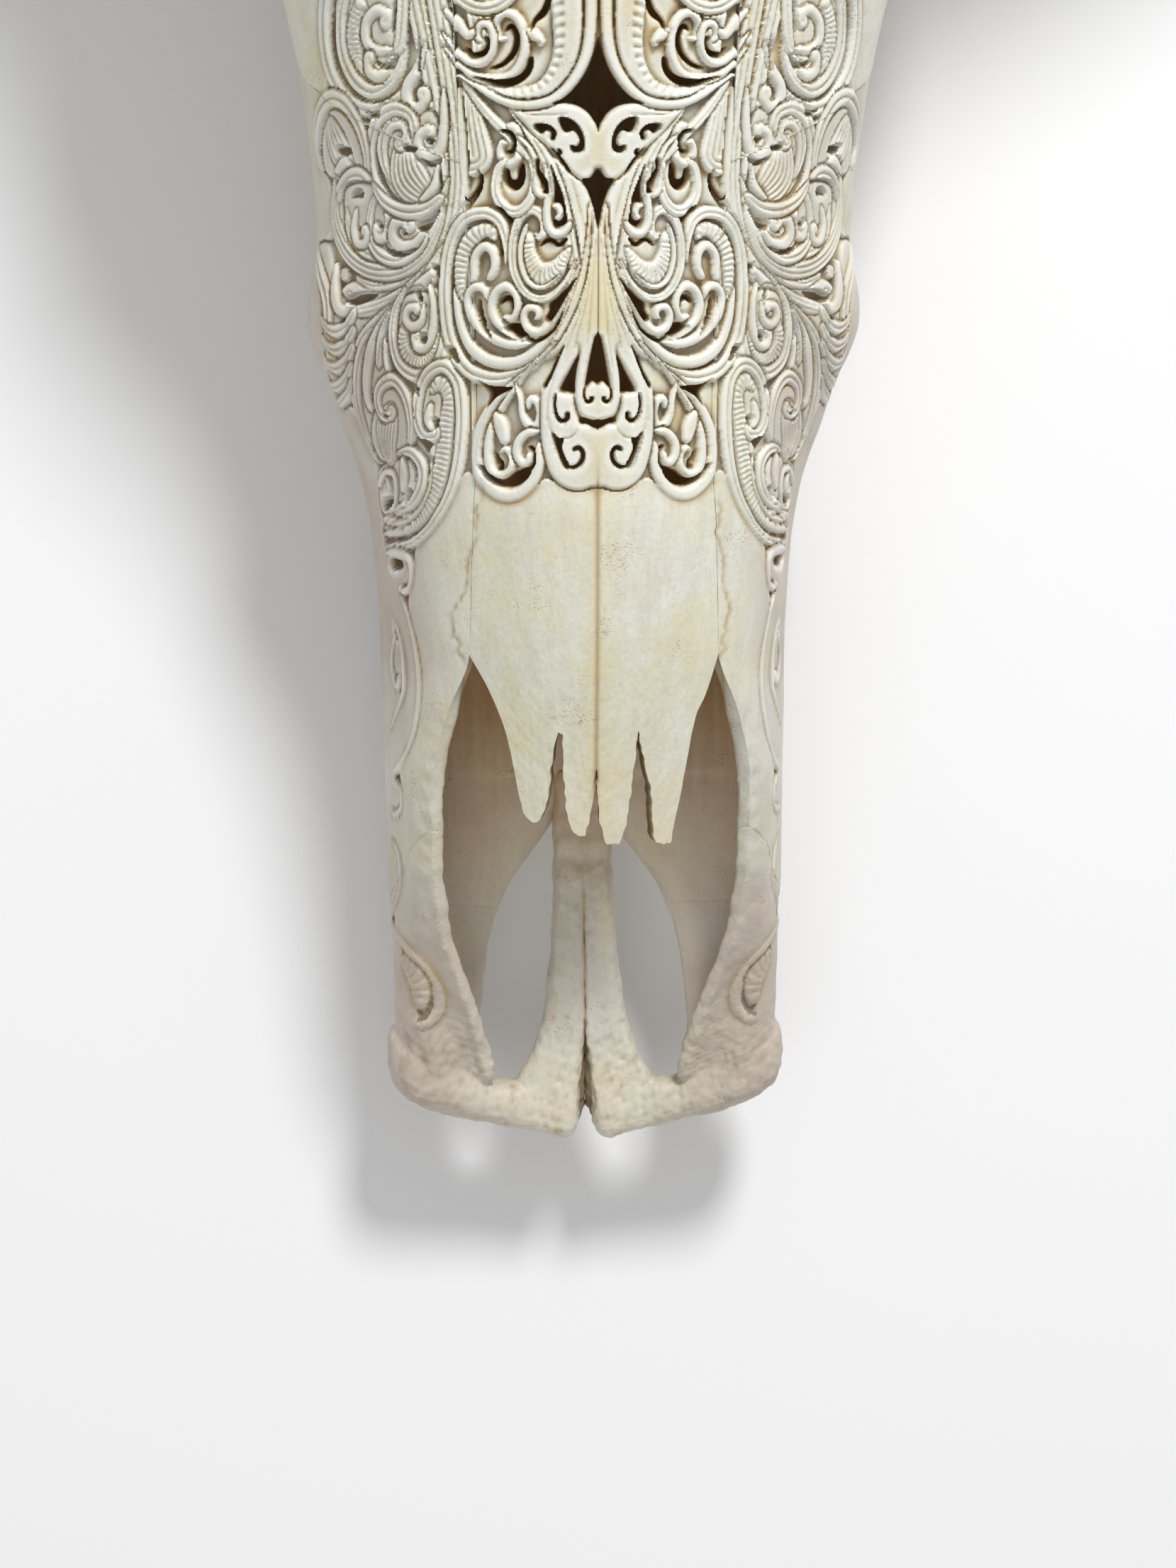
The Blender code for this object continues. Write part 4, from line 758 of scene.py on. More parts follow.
stroke([(0, 306), (6, 300), (8, 288), (5, 276), (0, 268)], (1.6, 2.2, 1.4), 2, flat=True)
stroke([(0, 394), (7, 386), (8, 374), (4, 364), (0, 358)], (1.8, 2.6, 1.4), 2, flat=True)
stroke([(0, 346), (5, 336), (8, 324), (6, 312), (0, 306)], (1.8, 2.8, 1.6), 2, flat=True)
stroke([(14, 395), (24, 396), (33, 394)], (1.2, 2, 1.2), flat=True)
stroke([(12, 324), (13, 318), (10, 306)], (1.2, 1.8, 1.2), flat=True)

# %% [markdown]
# Between the strokes the bone is cut away. Whatever lies inside the carved field and under no stroke is the
# ground, a little deeper than the ornament. Holes and cuts are deepest: on the nasal bones, where the cavity
# of the nose lies behind, they become real openings. Around the field the plain bone is dressed down a
# little, so that the ornament stands proud of it and dies away into it.

# %% Ground
GROUND = -1.6
DEEP = -2.9
FIELD_CLOSES = 1.3  # gaps narrower than about twice this between strokes belong to the field
FIELD_EASED = 24
NOSE_ENDS = 262.0
NOSE_REACH = 62.0
DRESSED = -0.7
DRESSED_REACH = 3.0


def box_count(mask, reach):
    """How many points of the mask lie in the square of that reach round each point."""
    n = int(reach / SHEET_STEP)
    padded = np.pad(mask.astype(float), ((n + 1, n), (n + 1, n)), mode="edge")
    total = padded.cumsum(0).cumsum(1)
    size = 2 * n + 1
    return total[size:, size:] - total[:-size, size:] - total[size:, :-size] + total[:-size, :-size]


def spread(values, reach):
    """Each point becomes the middle of the square of that reach round it."""
    return box_count(values, reach) / (2 * int(reach / SHEET_STEP) + 1) ** 2


def softened(values, times):
    """Each point becomes the middle of itself and its neighbours, once along each axis and time."""
    for _ in range(times):
        for axis in (0, 1):
            values = 0.5 * values + 0.25 * (np.roll(values, 1, axis) + np.roll(values, -1, axis))
    return values


covered = relief > LAID
both_halves = np.concatenate([covered[:, ::-1], covered], 1)
grown = box_count(both_halves, FIELD_CLOSES) > 0
square = (2 * int(FIELD_CLOSES / SHEET_STEP) + 1) ** 2
closed = (box_count(grown, FIELD_CLOSES) >= square)[:, covered.shape[1] :]
first_carved = np.argmax(nose_covered, axis=0)
behind_first = np.arange(len(sheet_y))[:, None] > first_carved
above_edge = behind_first & nose_covered.any(0) & (sheet_y[:, None] < NOSE_ENDS)
field = softened((closed | (above_edge & (sheet_u < NOSE_REACH))).astype(float), FIELD_EASED) > 0.5
field = field | covered | (opened > 0)
ground = field & ~covered
near_field = field.astype(float)
for _ in range(3):
    near_field = spread(near_field, DRESSED_REACH)
plain = DRESSED * share(near_field * 2.0)
height = np.where(covered, relief, np.where(ground, GROUND, plain))
height = height + (np.minimum(DEEP, height) - height) * share(opened / 0.25 + 0.5)
hollow = np.clip(softened(height, 30) - height, -1, 1)  # 1 in a narrow groove, -1 on a sharp ridge
SQUARE_CM = SHEET_STEP**2 / 100
print("carved field:", round(field.sum() * SQUARE_CM), "cm2, ground in it:", round(ground.sum() * SQUARE_CM))


def carving(u, y, values):
    """Reads one of the maps of the sheet at any distance from the midline and along the head."""
    row = np.clip(y / SHEET_STEP, 0, values.shape[0] - 1.001)
    col = np.clip(u / SHEET_STEP, 0, values.shape[1] - 1.001)
    return read_map(values, row, col)


# %% [markdown]
# These helpers make every bone. One puts arrays of points and faces into a mesh, one gives the faces of a
# grid of points, and one makes a thin wall from an outer and an inner grid, without some of their squares.
# The wall's edges, round each hole and along each border, are closed with one face per open edge.

# %% Mesh helpers
bone_pieces = []


def new_object(name, data):
    """An object in the scene for a mesh, a lamp or a camera."""
    obj = bpy.data.objects.new(name, data)
    bpy.context.scene.collection.objects.link(obj)
    return obj


def put(name, points, faces, side=1, layers=None, caps=()):
    """A mesh object from points in mm, given for the left side. caps are flat end faces, each a row of
    points. Where the volume that the faces enclose comes out below zero, they are all turned round."""
    points = np.asarray(points, float).reshape(-1, 3)
    faces = np.asarray(faces, np.int64).reshape(-1, 4)
    a, b, c, d = (points[faces[:, k]] for k in range(4))
    volume = np.einsum("ij,ij->", a, np.cross(b, c)) + np.einsum("ij,ij->", a, np.cross(c, d))
    turned = (volume < 0) != (side < 0)
    used = np.zeros(len(points), bool)
    used[faces.ravel()] = True
    new = np.cumsum(used) - 1
    place = np.clip((points[used] * (side, 1, 1) + (0, MUZZLE, 0)) * MM, *CAD_BOX)
    rows = new[faces].tolist() + [new[np.asarray(cap)].tolist() for cap in caps]
    if turned:
        rows = [row[::-1] for row in rows]
    mesh = bpy.data.meshes.new(name)
    mesh.from_pydata(place.tolist(), [], rows)
    for layer, values in (layers or {}).items():
        stored = mesh.attributes.new(layer, "FLOAT", "POINT")
        stored.data.foreach_set("value", np.asarray(values, float).ravel()[used].astype(np.float32))
    mesh.shade_smooth()
    mesh.set_sharp_from_angle(angle=np.radians(55))
    return new_object(name, mesh)


def grid_quads(rows, cols, wrap=False, start=0):
    """The faces of a grid of points, row by row; wrap closes each row into a ring."""
    at = start + np.arange(rows * cols).reshape(rows, cols)
    if wrap:
        at = np.concatenate([at, at[:, :1]], 1)
    return np.stack([at[:-1, :-1], at[:-1, 1:], at[1:, 1:], at[1:, :-1]], -1)


def normals(grid):
    """Unit vectors square to a grid of points, from the cross product of its two runs."""
    across = np.gradient(grid, axis=1)
    along = np.gradient(grid, axis=0)
    square = np.cross(across, along)
    return square / np.maximum(np.linalg.norm(square, axis=-1, keepdims=True), 1e-9)


def rough(points, size, seed):
    """A smooth wandering offset for points in mm: a sum of sine waves in random directions."""
    random = np.random.default_rng(seed)
    total = np.zeros(points.shape[:-1])
    for k in range(14):
        way = random.normal(size=3)
        way /= np.linalg.norm(way)
        wave = size * (0.6 + 0.9 * random.random())
        total += np.sin(points @ way * 2 * np.pi / wave + random.random() * 6.3)
    return total / 5.3


def thin_wall(name, outer, inner, keep, side=1, layers=None):
    """A closed wall between two grids of points, made only of the squares that are kept. Where two of them
    touch only at a corner, a third one is kept too."""
    keep = keep.copy()
    for _ in range(3):
        a = keep[:-1, :-1] & keep[1:, 1:] & ~keep[:-1, 1:] & ~keep[1:, :-1]
        keep[1:, :-1] |= a
        b = keep[:-1, 1:] & keep[1:, :-1] & ~keep[:-1, :-1] & ~keep[1:, 1:]
        keep[:-1, :-1] |= b
    rows, cols = outer.shape[:2]
    top = grid_quads(rows, cols)[keep]
    below = rows * cols
    bottom = (grid_quads(rows, cols) + below)[keep][:, ::-1]
    at = np.arange(rows * cols).reshape(rows, cols)
    edge = np.pad(keep, 1)
    walls = []
    for first, second, one, other in (
        (at[:, :-1], at[:, 1:], edge[1:, 1:-1], edge[:-1, 1:-1]),
        (at[1:, :], at[:-1, :], edge[1:-1, 1:], edge[1:-1, :-1]),
    ):
        for mask, a, b in ((one & ~other, first, second), (other & ~one, second, first)):
            walls.append(np.stack([b[mask], a[mask], a[mask] + below, b[mask] + below], -1))
    quads = np.concatenate([top, bottom, *walls])
    both = {key: np.concatenate([one.ravel(), two.ravel()]) for key, (one, two) in (layers or {}).items()}
    return put(name, np.concatenate([outer.reshape(-1, 3), inner.reshape(-1, 3)]), quads, side, both)


def claimed(obj, node, slot="bone"):
    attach(obj, "root")
    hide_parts(node)
    if slot == "bone":
        bone_pieces.append(obj)
    return obj

# %% [markdown]
# The two nasal bones roof the nose. In front each ends in two free points with a deep notch between them;
# behind, the carver pierced them through and through. Each is an arched plate: its height falls with the
# square of the distance from the midline. The plate is worked out as an outer and an inner grid, the squares
# over the openings are left out, and the points beside an opening are drawn back onto its true outline.

# %% Nasal bones
NASAL_START = 66.0
NASAL_END = 252.0
NASAL_THICK = 3.4
DEEPEST = -2.6
NASAL_EDGE = {
    "left": ((67, 72, 77, 86, 95, 99, 108), (16.5, 17.2, 18.3, 19.9, 21.7, 23.6, 26.6)),
    "right": ((67, 74, 77, 91, 100, 108), (14.6, 15.2, 15.9, 18.8, 22.2, 26.5)),
}
TIP_LINE = {
    "left": (
        (0, 0.5, 1.4, 3.0, 4.7, 6.2, 7.4, 8.3, 9.0, 9.8, 11.2, 12.0, 12.5, 13.4, 16.1, 17.2),
        (80, 76.5, 70, 67.5, 67.5, 70.3, 77.5, 86, 91.3, 87.5, 81.6, 78.0, 71.0, 67.6, 67.5, 71.5),
    ),
    "right": (
        (0, 0.7, 1.4, 2.2, 4.4, 6.0, 6.7, 7.3, 8.0, 9.0, 9.8, 11.4, 12.8, 15.0, 15.9),
        (80, 76.5, 73, 69.5, 70, 74, 80.7, 90.8, 91.6, 87.5, 80, 73.6, 72.5, 73.8, 77),
    ),
}
SUTURE = {
    "left": ((104, 109, 117, 128, 139, 146), (26.6, 27.4, 28.5, 27.3, 25.9, 25.6)),
    "right": ((104, 108, 111, 114, 121, 128, 138, 146), (27.0, 28.1, 29.2, 30.2, 28.1, 26.7, 24.6, 24.2)),
}
SUTURE_DEEP = 0.35
SUTURE_STAIN = 0.85


def suture_at(points, word):
    """1 on the jagged line where nasal bone and upper jaw grew together, falling away beside it with the
    square of the distance."""
    x, y = points[..., 0], points[..., 1]
    along = np.stack([x * 0, y, x * 0], -1)
    zigzag = 0.8 * rough(along, 4.5, 51) + 0.5 * rough(along, 1.7, 52)
    away = x - through(y, *SUTURE[word]) - zigzag
    shown = share((y - 105) / 3) * share((146 - y) / 6)
    return shown * np.exp(-((away / 0.5) ** 2)) * share(0.75 + 0.5 * rough(points, 3.0, 53))


def squares_mean(values):
    """For each square of a grid, the middle of the values at its four corners."""
    return (values[:-1, :-1] + values[1:, :-1] + values[:-1, 1:] + values[1:, 1:]) / 4


def beside_opening(keep):
    """The points that touch both a kept square and one that is left out."""
    kept = np.pad(keep.astype(float), 1)
    count = kept[:-1, :-1] + kept[1:, :-1] + kept[:-1, 1:] + kept[1:, 1:]
    return (count > 0) & (count < 4)


def nasal_bone(side, word):
    """Points x out and y along lie at the height top - fall x^2. The outer grid is raised square to that by
    the carving and lowered along the seams, and the inner grid lies one thickness under it."""
    plain_rows = np.linspace(NASAL_START, 139, 104, endpoint=False)
    rows = np.concatenate([plain_rows, np.linspace(139, NASAL_END, 400)])[:, None]
    cols = np.linspace(0, 1, 96)[None, :]
    shoulder = np.maximum(rows, 108)
    fall = (line(TOP_Z, shoulder) - line(RIM_Z, shoulder)) / line(RIM_X, shoulder) ** 2
    edge = np.where(rows < shoulder, through(rows, *NASAL_EDGE[word]), line(RIM_X, rows))
    edge = edge + 0.45 * share((rows - 200) / 8)
    x = cols * edge
    y = np.broadcast_to(rows, x.shape)
    tip = through(x, *TIP_LINE[word])
    steep = (through(x + 0.05, *TIP_LINE[word]) - through(x - 0.05, *TIP_LINE[word])) / 0.1
    ragged = 0.22 * rough(np.stack([x, y, x * 0], -1), 2.4, 31)
    beyond_tip = (tip - y) / np.hypot(1, steep) + ragged * share((100 - y) / 10)
    u = np.minimum(skin_distance(y, share(x / line(RIM_X, y))), 140)
    opening = np.maximum(beyond_tip, carving(u, y, opened))
    keep = squares_mean(opening) <= 0
    du = np.gradient(opening, axis=1) / np.gradient(x, axis=1)
    dy = np.gradient(opening, axis=0) / np.gradient(y, axis=0)
    size = np.maximum(np.hypot(du, dy), 0.5)
    step = np.where(beside_opening(keep) & (np.abs(opening) < 0.8), np.clip(opening / size, -0.3, 0.3), 0)
    x = np.clip(x - du / size * step, 0, edge)
    y = np.clip(y - dy / size * step, NASAL_START, NASAL_END)
    top = line(TOP_Z, y)
    skin = np.stack([x, y, top - fall * x * x], -1)
    square = normals(skin)
    u = skin_distance(y, share(x / line(RIM_X, y)))
    lift = np.maximum(carving(u, y, height), DEEPEST)
    worn = 0.05 * rough(skin * (1, 0.3, 1), 1.6, 32) * share((112 - y) / 20)
    plain_part = share((y - 96) / 8) * share((150 - y) / 12)
    grown = suture_at(skin, word)
    worn = worn - SUTURE_DEEP * grown - 0.08 * plain_part * np.exp(-(((edge - x) / 0.5) ** 2))
    worn = worn - 0.16 * np.exp(-((x / 0.35) ** 2)) * share((150 - y) / 12)
    outer = skin + square * (lift + worn)[..., None]
    inner = skin - square * NASAL_THICK
    suture = np.exp(-((x / 0.55) ** 2)) * share((150 - y) / 12)
    yellow = 0.75 * np.exp(-((x / 3.4) ** 2)) + 0.35 * share((92 - y) / 16)
    beside_cut = share((carving(u, y, opened) + 1.2) / 1.2) * share((y - 136) / 4)
    yellow = yellow + 0.45 * beside_cut
    cavity = carving(u, y, hollow)
    none = cavity * 0
    layers = {
        "hollow": (cavity, none + 1),
        "inside": (0.8 * share((-1.75 - lift) / 0.4), none + 1),
        "stain_and_shade": (np.maximum(suture, SUTURE_STAIN * grown), none),
        "yellow": (yellow, none),
    }
    obj = thin_wall(f"nasal_bone_{word}", outer, inner, keep, side, layers)
    return claimed(obj, f"nasal_{word}")


for word, side in SIDES.items():
    made = nasal_bone(side, word)
    print(made.name, len(made.data.polygons), "faces")

# %% [markdown]
# The wall of the upper jaw is one closed ring carried along the head: down the outside of the face, in under
# the nose as the palate, up the wall of the nose and back to the rim. Its rows don't stand square to the head
# but run evenly from one seam to the next, so that the ring ends exactly in the seam with the bone behind.

# %% Jaw walls
FRONT_WALL = 5.0
CAVITY_HALF = ((110, 150, 240, 300), (32, 31, 29, 28))
CAVITY_FADE = ((100, 126, 150), (0, 0.6, 1))
PALATE_EDGE = (
    (12, 20, 26, 33, 46, 58, 65, 72, 78, 82),
    (22.5, 23.6, 24.9, 24.2, 22.5, 18.5, 14, 9.5, 6.9, 6.6),
)
PALATE_CLOSED = 83.5
NOSE_JOINS = 100.0
MUZZLE_SEAM = ((40, 62, 50), (0.10, 0.86, -0.50))
CHEEK_SEAM = ((50, 200, 118), (0.0, 0.70, 0.714))
SEAM_OVERLAP = 0.5
OUTER_T = np.concatenate([np.linspace(1, 3, 145, endpoint=False), np.linspace(3, 4, 33)])
OUTER_COLS = len(OUTER_T)
INNER_COLS = 34
RIGHT_SIDE_SHADE = 1.25  # painted shade: the right side, turned away from the key lamp, takes more mauve and comes out darker


def inner_knots(y):
    """The points that the ring passes from the tooth edge over the palate and the wall of the nose to the
    rim, as arrays of x and z with the points on the last axis."""
    edge_x = line(EDGE_X, y)
    edge_z = line(EDGE_Z, y)
    rim_x = line(RIM_X, y)
    rim_z = line(RIM_Z, y)
    under = edge_z + 2
    floor = under + 4
    meet = np.where(y < PALATE_CLOSED, through(y, *PALATE_EDGE), 0.1)
    half = through(y, *CAVITY_HALF)
    roof = rim_z - 5
    tall = roof - floor
    fade = through(y, *CAVITY_FADE)
    xs = [edge_x, edge_x - 1.5, (edge_x + meet) / 2, meet, meet]
    zs = [edge_z, edge_z - 1, edge_z + 1, under, floor]
    full_x = [half - 3, half, half, half - 1.5, np.minimum(rim_x, half) - 3]
    full_z = [floor + 3, floor + 12, roof - tall / 2, roof - tall / 4, roof]
    for fx, fz, t in zip(full_x, full_z, np.linspace(3.3, 1.15, 5)):
        x0, z0 = face(y, np.full_like(y, t - 0.01))
        x1, z1 = face(y, np.full_like(y, t + 0.01))
        run = np.hypot(x1 - x0, z1 - z0)
        thin_x = (x0 + x1) / 2 + (z1 - z0) / run * FRONT_WALL
        thin_z = (z0 + z1) / 2 - (x1 - x0) / run * FRONT_WALL
        xs.append(thin_x * (1 - fade) + fx * fade)
        zs.append(np.maximum(thin_z * (1 - fade) + fz * fade, floor + 1.5))
    free = share((NOSE_JOINS + 4 - y) / 8)
    xs += [rim_x - 2.5 * free, rim_x]
    zs += [rim_z - 2.0 * free - 4.0 * (1 - free), rim_z]
    return np.stack(xs, -1), np.stack(zs, -1)


def jaw_ring(y):
    """The x and z of the ring for an array of y with one column for each of its points."""
    outer_x, outer_z = face(y[:, :OUTER_COLS], OUTER_T[None, :])
    rest = y[:, OUTER_COLS:]
    knots_x, knots_z = inner_knots(rest)
    last = knots_x.shape[-1] - 1
    place = np.broadcast_to(np.linspace(0, last, INNER_COLS + 2)[None, 1:-1], rest.shape)
    inner_x = chained(knots_x, place)
    inner_z = chained(knots_z, place)
    return np.concatenate([outer_x, inner_x], 1), np.concatenate([outer_z, inner_z], 1)


def blush_at(x, y):
    """How far the colour leans to mauve: most on the front of the muzzle and on the side of the jaw."""
    front = share((x - 26) / 14) * (0.4 + 0.6 * share((64 - y) / 30))
    cheek = 0.6 * share((x - 33) / 8) * share((y - 84) / 20) * share((200 - y) / 40)
    return share(front + cheek)


def seam_y(seam, x, z):
    """Where along the head a plane seam lies, for each x and z."""
    point, way = seam
    return point[1] - (way[0] * (x - point[0]) + way[2] * (z - point[2])) / way[1]


def jaw_wall(name, side, start, end, v):
    """A length of the jaw's wall. start and end give the y of its first and last row for each x and z, and
    v where between them each row lies. A row's y depends on its own x and z, so they are found in rounds."""
    rows = len(v)
    v = v[:, None]
    x = np.full((rows, OUTER_COLS + INNER_COLS), 40.0)
    z = np.full_like(x, 60.0)
    for _ in range(14):
        y = start(x, z) * (1 - v) + end(x, z) * v
        x, z = jaw_ring(y)
    skin = np.stack([x, y, z], -1)
    out = skin[:, :OUTER_COLS]
    t = np.broadcast_to(OUTER_T[None, :], out.shape[:2])
    u = skin_distance(out[..., 1], t)
    weight = share((3.9 - t) / 0.3)
    lift = carving(u, out[..., 1], height) * weight
    square = normals(out)
    skin[:, :OUTER_COLS] = out + square * lift[..., None]
    at_rim = np.zeros(x.shape)
    at_rim[:, :OUTER_COLS] = share((1.35 - t) / 0.3)
    at_rim[:, OUTER_COLS + INNER_COLS // 2 :] = 1
    free = share((100 - skin[..., 1]) / 10)
    uneven = 0.06 * rough(skin, 8.0, 41)
    uneven = uneven + (0.32 * rough(skin, 6.0, 42) + 0.1 * rough(skin, 2.2, 43)) * at_rim * free
    skin = skin + normals(skin) * uneven[..., None]
    grown = suture_at(out, "left" if side > 0 else "right") * (t < 1.5)
    skin[:, :OUTER_COLS] -= square * (SUTURE_DEEP * grown)[..., None]
    grooves = np.zeros(x.shape)
    grooves[:, :OUTER_COLS] = carving(u, out[..., 1], hollow) * weight
    inside = np.zeros(x.shape)
    inner_part = np.linspace(0, 1, INNER_COLS)
    begins = share((inner_part - 0.25) / 0.15)
    inside[:, OUTER_COLS:] = begins * share((0.97 - inner_part) / 0.12)
    y = skin[..., 1]
    stain_and_shade = np.zeros(x.shape)
    stain_and_shade[:, :OUTER_COLS] = SUTURE_STAIN * grown
    ring = np.arange(x.shape[1])
    caps = (ring[::-1], ring + (rows - 1) * x.shape[1])
    # painted shade: on the right side the mauve layer is raised
    blush = blush_at(skin[..., 0], y) * (RIGHT_SIDE_SHADE if side < 0 else 1.0)
    layers = {"hollow": grooves, "inside": inside, "stain_and_shade": stain_and_shade, "blush": blush}
    return put(name, skin, grid_quads(*x.shape, wrap=True), side, layers, caps)


def at_front(x, z):
    """Where the wall of the muzzle begins, just behind the front plate."""
    return np.full_like(x, 14.0)


def at_muzzle_seam(x, z):
    """The seam between muzzle and upper jaw."""
    return seam_y(MUZZLE_SEAM, x, z)


def at_cheek_seam(x, z):
    """The seam between upper jaw and cheek, a little past it so that no gap shows."""
    return seam_y(CHEEK_SEAM, x, z) + SEAM_OVERLAP


dense_rows = np.concatenate([np.linspace(0, 0.4, 112, endpoint=False), np.linspace(0.4, 1, 290)])
for word, side in SIDES.items():
    made = jaw_wall(f"upper_jaw_{word}", side, at_muzzle_seam, at_cheek_seam, dense_rows)
    print(claimed(made, f"maxilla_{word}").name, len(made.data.polygons), "faces")

# %% [markdown]
# The bones behind the carved muzzle have shapes that no single formula gives: the eye socket with its raised
# rim, the arch of the cheek, the braincase. Their solids already hold the true shape, only with flat facets.
# So a copy of each solid is rebuilt from small even squares, and rounded by moving each point a little
# towards its neighbours and then a little back, which smooths without shrinking. Where the bone belongs to
# the face, its points are then drawn onto the face's own formula, and take the carving.

# %% Rounded copies of the solids
def even_copy(meshes, square):
    """The points and faces, in mm, of one body rebuilt from small squares out of closed meshes that may
    overlap."""
    work = bmesh.new()
    for one in meshes:
        work.from_mesh(one)
    bmesh.ops.remove_doubles(work, verts=work.verts, dist=1e-6)
    mesh = bpy.data.meshes.new("copy")
    work.to_mesh(mesh)
    work.free()
    obj = new_object("copy", mesh)
    rebuild = obj.modifiers.new("squares", "REMESH")
    rebuild.mode = "VOXEL"
    rebuild.voxel_size = square * MM
    built = bpy.data.meshes.new_from_object(obj.evaluated_get(bpy.context.evaluated_depsgraph_get()))
    points = np.empty(len(built.vertices) * 3)
    built.vertices.foreach_get("co", points)
    corners = np.empty(len(built.loops), np.int64)
    built.loops.foreach_get("vertex_index", corners)
    bpy.data.objects.remove(obj)
    bpy.data.meshes.remove(mesh)
    return points.reshape(-1, 3) / MM - (0, MUZZLE, 0), corners.reshape(-1, 4)


def eased(points, faces, times, push=0.5, pull=-0.52, where=1.0):
    """Each point moves towards the middle of its neighbours, then back, that many times. where gives each
    point a share from 0 to 1."""
    pairs = np.concatenate([faces[:, [k, (k + 1) % 4]] for k in range(4)])
    a = np.concatenate([pairs[:, 0], pairs[:, 1]])
    b = np.concatenate([pairs[:, 1], pairs[:, 0]])
    count = np.bincount(a, minlength=len(points))[:, None]
    for k in range(2 * times):
        middle = np.stack([np.bincount(a, points[b, i], len(points)) for i in range(3)], 1) / count
        points = points + (push if k % 2 == 0 else pull) * (middle - points) * where
    return points


def square_to(points, faces):
    """Unit vectors square to the surface at its points: the sum of the faces' own, weighted by area."""
    a, b, c, d = (points[faces[:, k]] for k in range(4))
    each = np.cross(c - a, d - b)
    total = np.stack([np.bincount(faces.ravel(), np.repeat(each[:, i], 4), len(points)) for i in range(3)], 1)
    return total / np.maximum(np.linalg.norm(total, axis=1, keepdims=True), 1e-9)


def on_face(points, out):
    """For points on one side: where each lies on the face (its distance from the midline and the place and
    outward way there), and how far above it."""
    row = np.clip(points[:, 1], 0, len(section_y) - 1.001)
    low = row.astype(int)
    part = (row - low)[:, None]
    t_best = np.zeros(len(points))
    for chunk in np.array_split(np.arange(len(points)), max(1, len(points) // 20000)):
        xs = section_x[low[chunk]] * (1 - part[chunk]) + section_x[low[chunk] + 1] * part[chunk]
        zs = section_z[low[chunk]] * (1 - part[chunk]) + section_z[low[chunk] + 1] * part[chunk]
        gap = (xs - points[chunk, :1]) ** 2 + (zs - points[chunk, 2:]) ** 2
        t_best[chunk] = section_t[np.argmin(gap, axis=1)]
    for _ in range(2):
        x0, z0 = face(points[:, 1], np.clip(t_best - 0.01, 0, 4))
        x1, z1 = face(points[:, 1], np.clip(t_best + 0.01, 0, 4))
        run = np.stack([x1 - x0, z1 - z0], 1)
        size = np.maximum(np.linalg.norm(run, axis=1), 1e-9)
        off = np.stack([points[:, 0] - (x0 + x1) / 2, points[:, 2] - (z0 + z1) / 2], 1)
        t_best = np.clip(t_best + np.clip((off * run).sum(1) / size**2 * 0.02, -0.05, 0.05), 0, 4)
    x, z = face(points[:, 1], t_best)
    above = ((points[:, 2] - z) * run[:, 0] - (points[:, 0] - x) * run[:, 1]) / size
    facing = (-run[:, 1] * out[:, 0] + run[:, 0] * out[:, 2]) / size
    return t_best, x, z, above, facing

# %% [markdown]
# The front of the muzzle is a rough plate across, joined on each side to the wall of the jaw and, along the
# midline, to a narrow bar that runs back between the two slots. Both are ovals carried along a path.

# %% Muzzle
# From the side to the midline: how far out, the front, the back, the lowest and the highest point
PLATE = (
    (44.6, 43.4, 38.5, 32, 26, 20, 14, 9, 5, 2.6, 1.4, 0.05),
    (17, 13, 8.5, 6, 4.6, 3.4, 2, 0.8, 0, 1.4, 4.5, 7),
    (24, 27, 26, 24, 20, 14, 14, 19, 20, 20, 20, 20),
    (27, 24.5, 22.5, 22, 22, 22.5, 23, 24, 24.5, 25, 24.5, 24),
    (34, 36, 37.6, 36.8, 35.2, 33.5, 32.4, 32, 32, 31.5, 28.5, 27.5),
)


def oval_ring(turn, power):
    """The cosine and sine of a turn, each raised to 2 / power: the higher the power, the squarer the oval."""
    c = np.cos(turn)
    s = np.sin(turn)
    return np.sign(c) * np.abs(c) ** (2 / power), np.sign(s) * np.abs(s) ** (2 / power)


def closed_tube(name, rings, side, layers=None):
    """A closed body through rows of rings, with three smaller rings and a flat face at each end. Each layer
    gives every point of the rings a value."""
    first = rings[:1].mean(1, keepdims=True)
    last = rings[-1:].mean(1, keepdims=True)
    ends_a = [first + (rings[:1] - first) * k for k in (0.3, 0.65, 0.88)]
    ends_b = [last + (rings[-1:] - last) * k for k in (0.88, 0.65, 0.3)]
    rings = np.concatenate([*ends_a, rings, *ends_b])
    rows, cols = rings.shape[:2]
    ring = np.arange(cols)
    kept = {key: np.concatenate([v[:1]] * 3 + [v] + [v[-1:]] * 3) for key, v in (layers or {}).items()}
    caps = (ring[::-1], ring + (rows - 1) * cols)
    return put(name, rings, grid_quads(rows, cols, wrap=True), side, kept, caps)


def seam_beyond(x, z):
    """A little past the seam with the upper jaw."""
    return at_muzzle_seam(x, z) + SEAM_OVERLAP


def muzzle_plate():
    """Rows of squarish ovals from the side to the midline."""
    at = np.linspace(0, 1, 110)
    across, front, back, low, high = (through(at, np.linspace(0, 1, len(row)), row) for row in PLATE)
    c, s = oval_ring(np.arange(72) * 2 * np.pi / 72, 2.6)
    y = (front + back)[:, None] / 2 + c * (back - front)[:, None] / 2
    z = (low + high)[:, None] / 2 + s * (high - low)[:, None] / 2
    rings = np.stack([np.broadcast_to(across[:, None], y.shape), y, z], -1)
    middle = rings.mean(1, keepdims=True)
    away_from = rings - middle
    away_from /= np.linalg.norm(away_from, axis=-1, keepdims=True)
    rings = rings - away_from * (0.3 + 0.25 * rough(rings, 9.0, 4))[..., None]
    return closed_tube("plate", rings, 1)


BAR_EDGE = ((9, 14, 18, 22, 27, 33, 42, 56, 84), (17.5, 15.5, 13.2, 11.4, 10.0, 8.9, 7.9, 7.0, 6.6))
BAR_PARTS = ((8, 17, 25, 32, 50, 60), (2.2, 1.5, 0.5, 0.12, 0.06, -0.5))


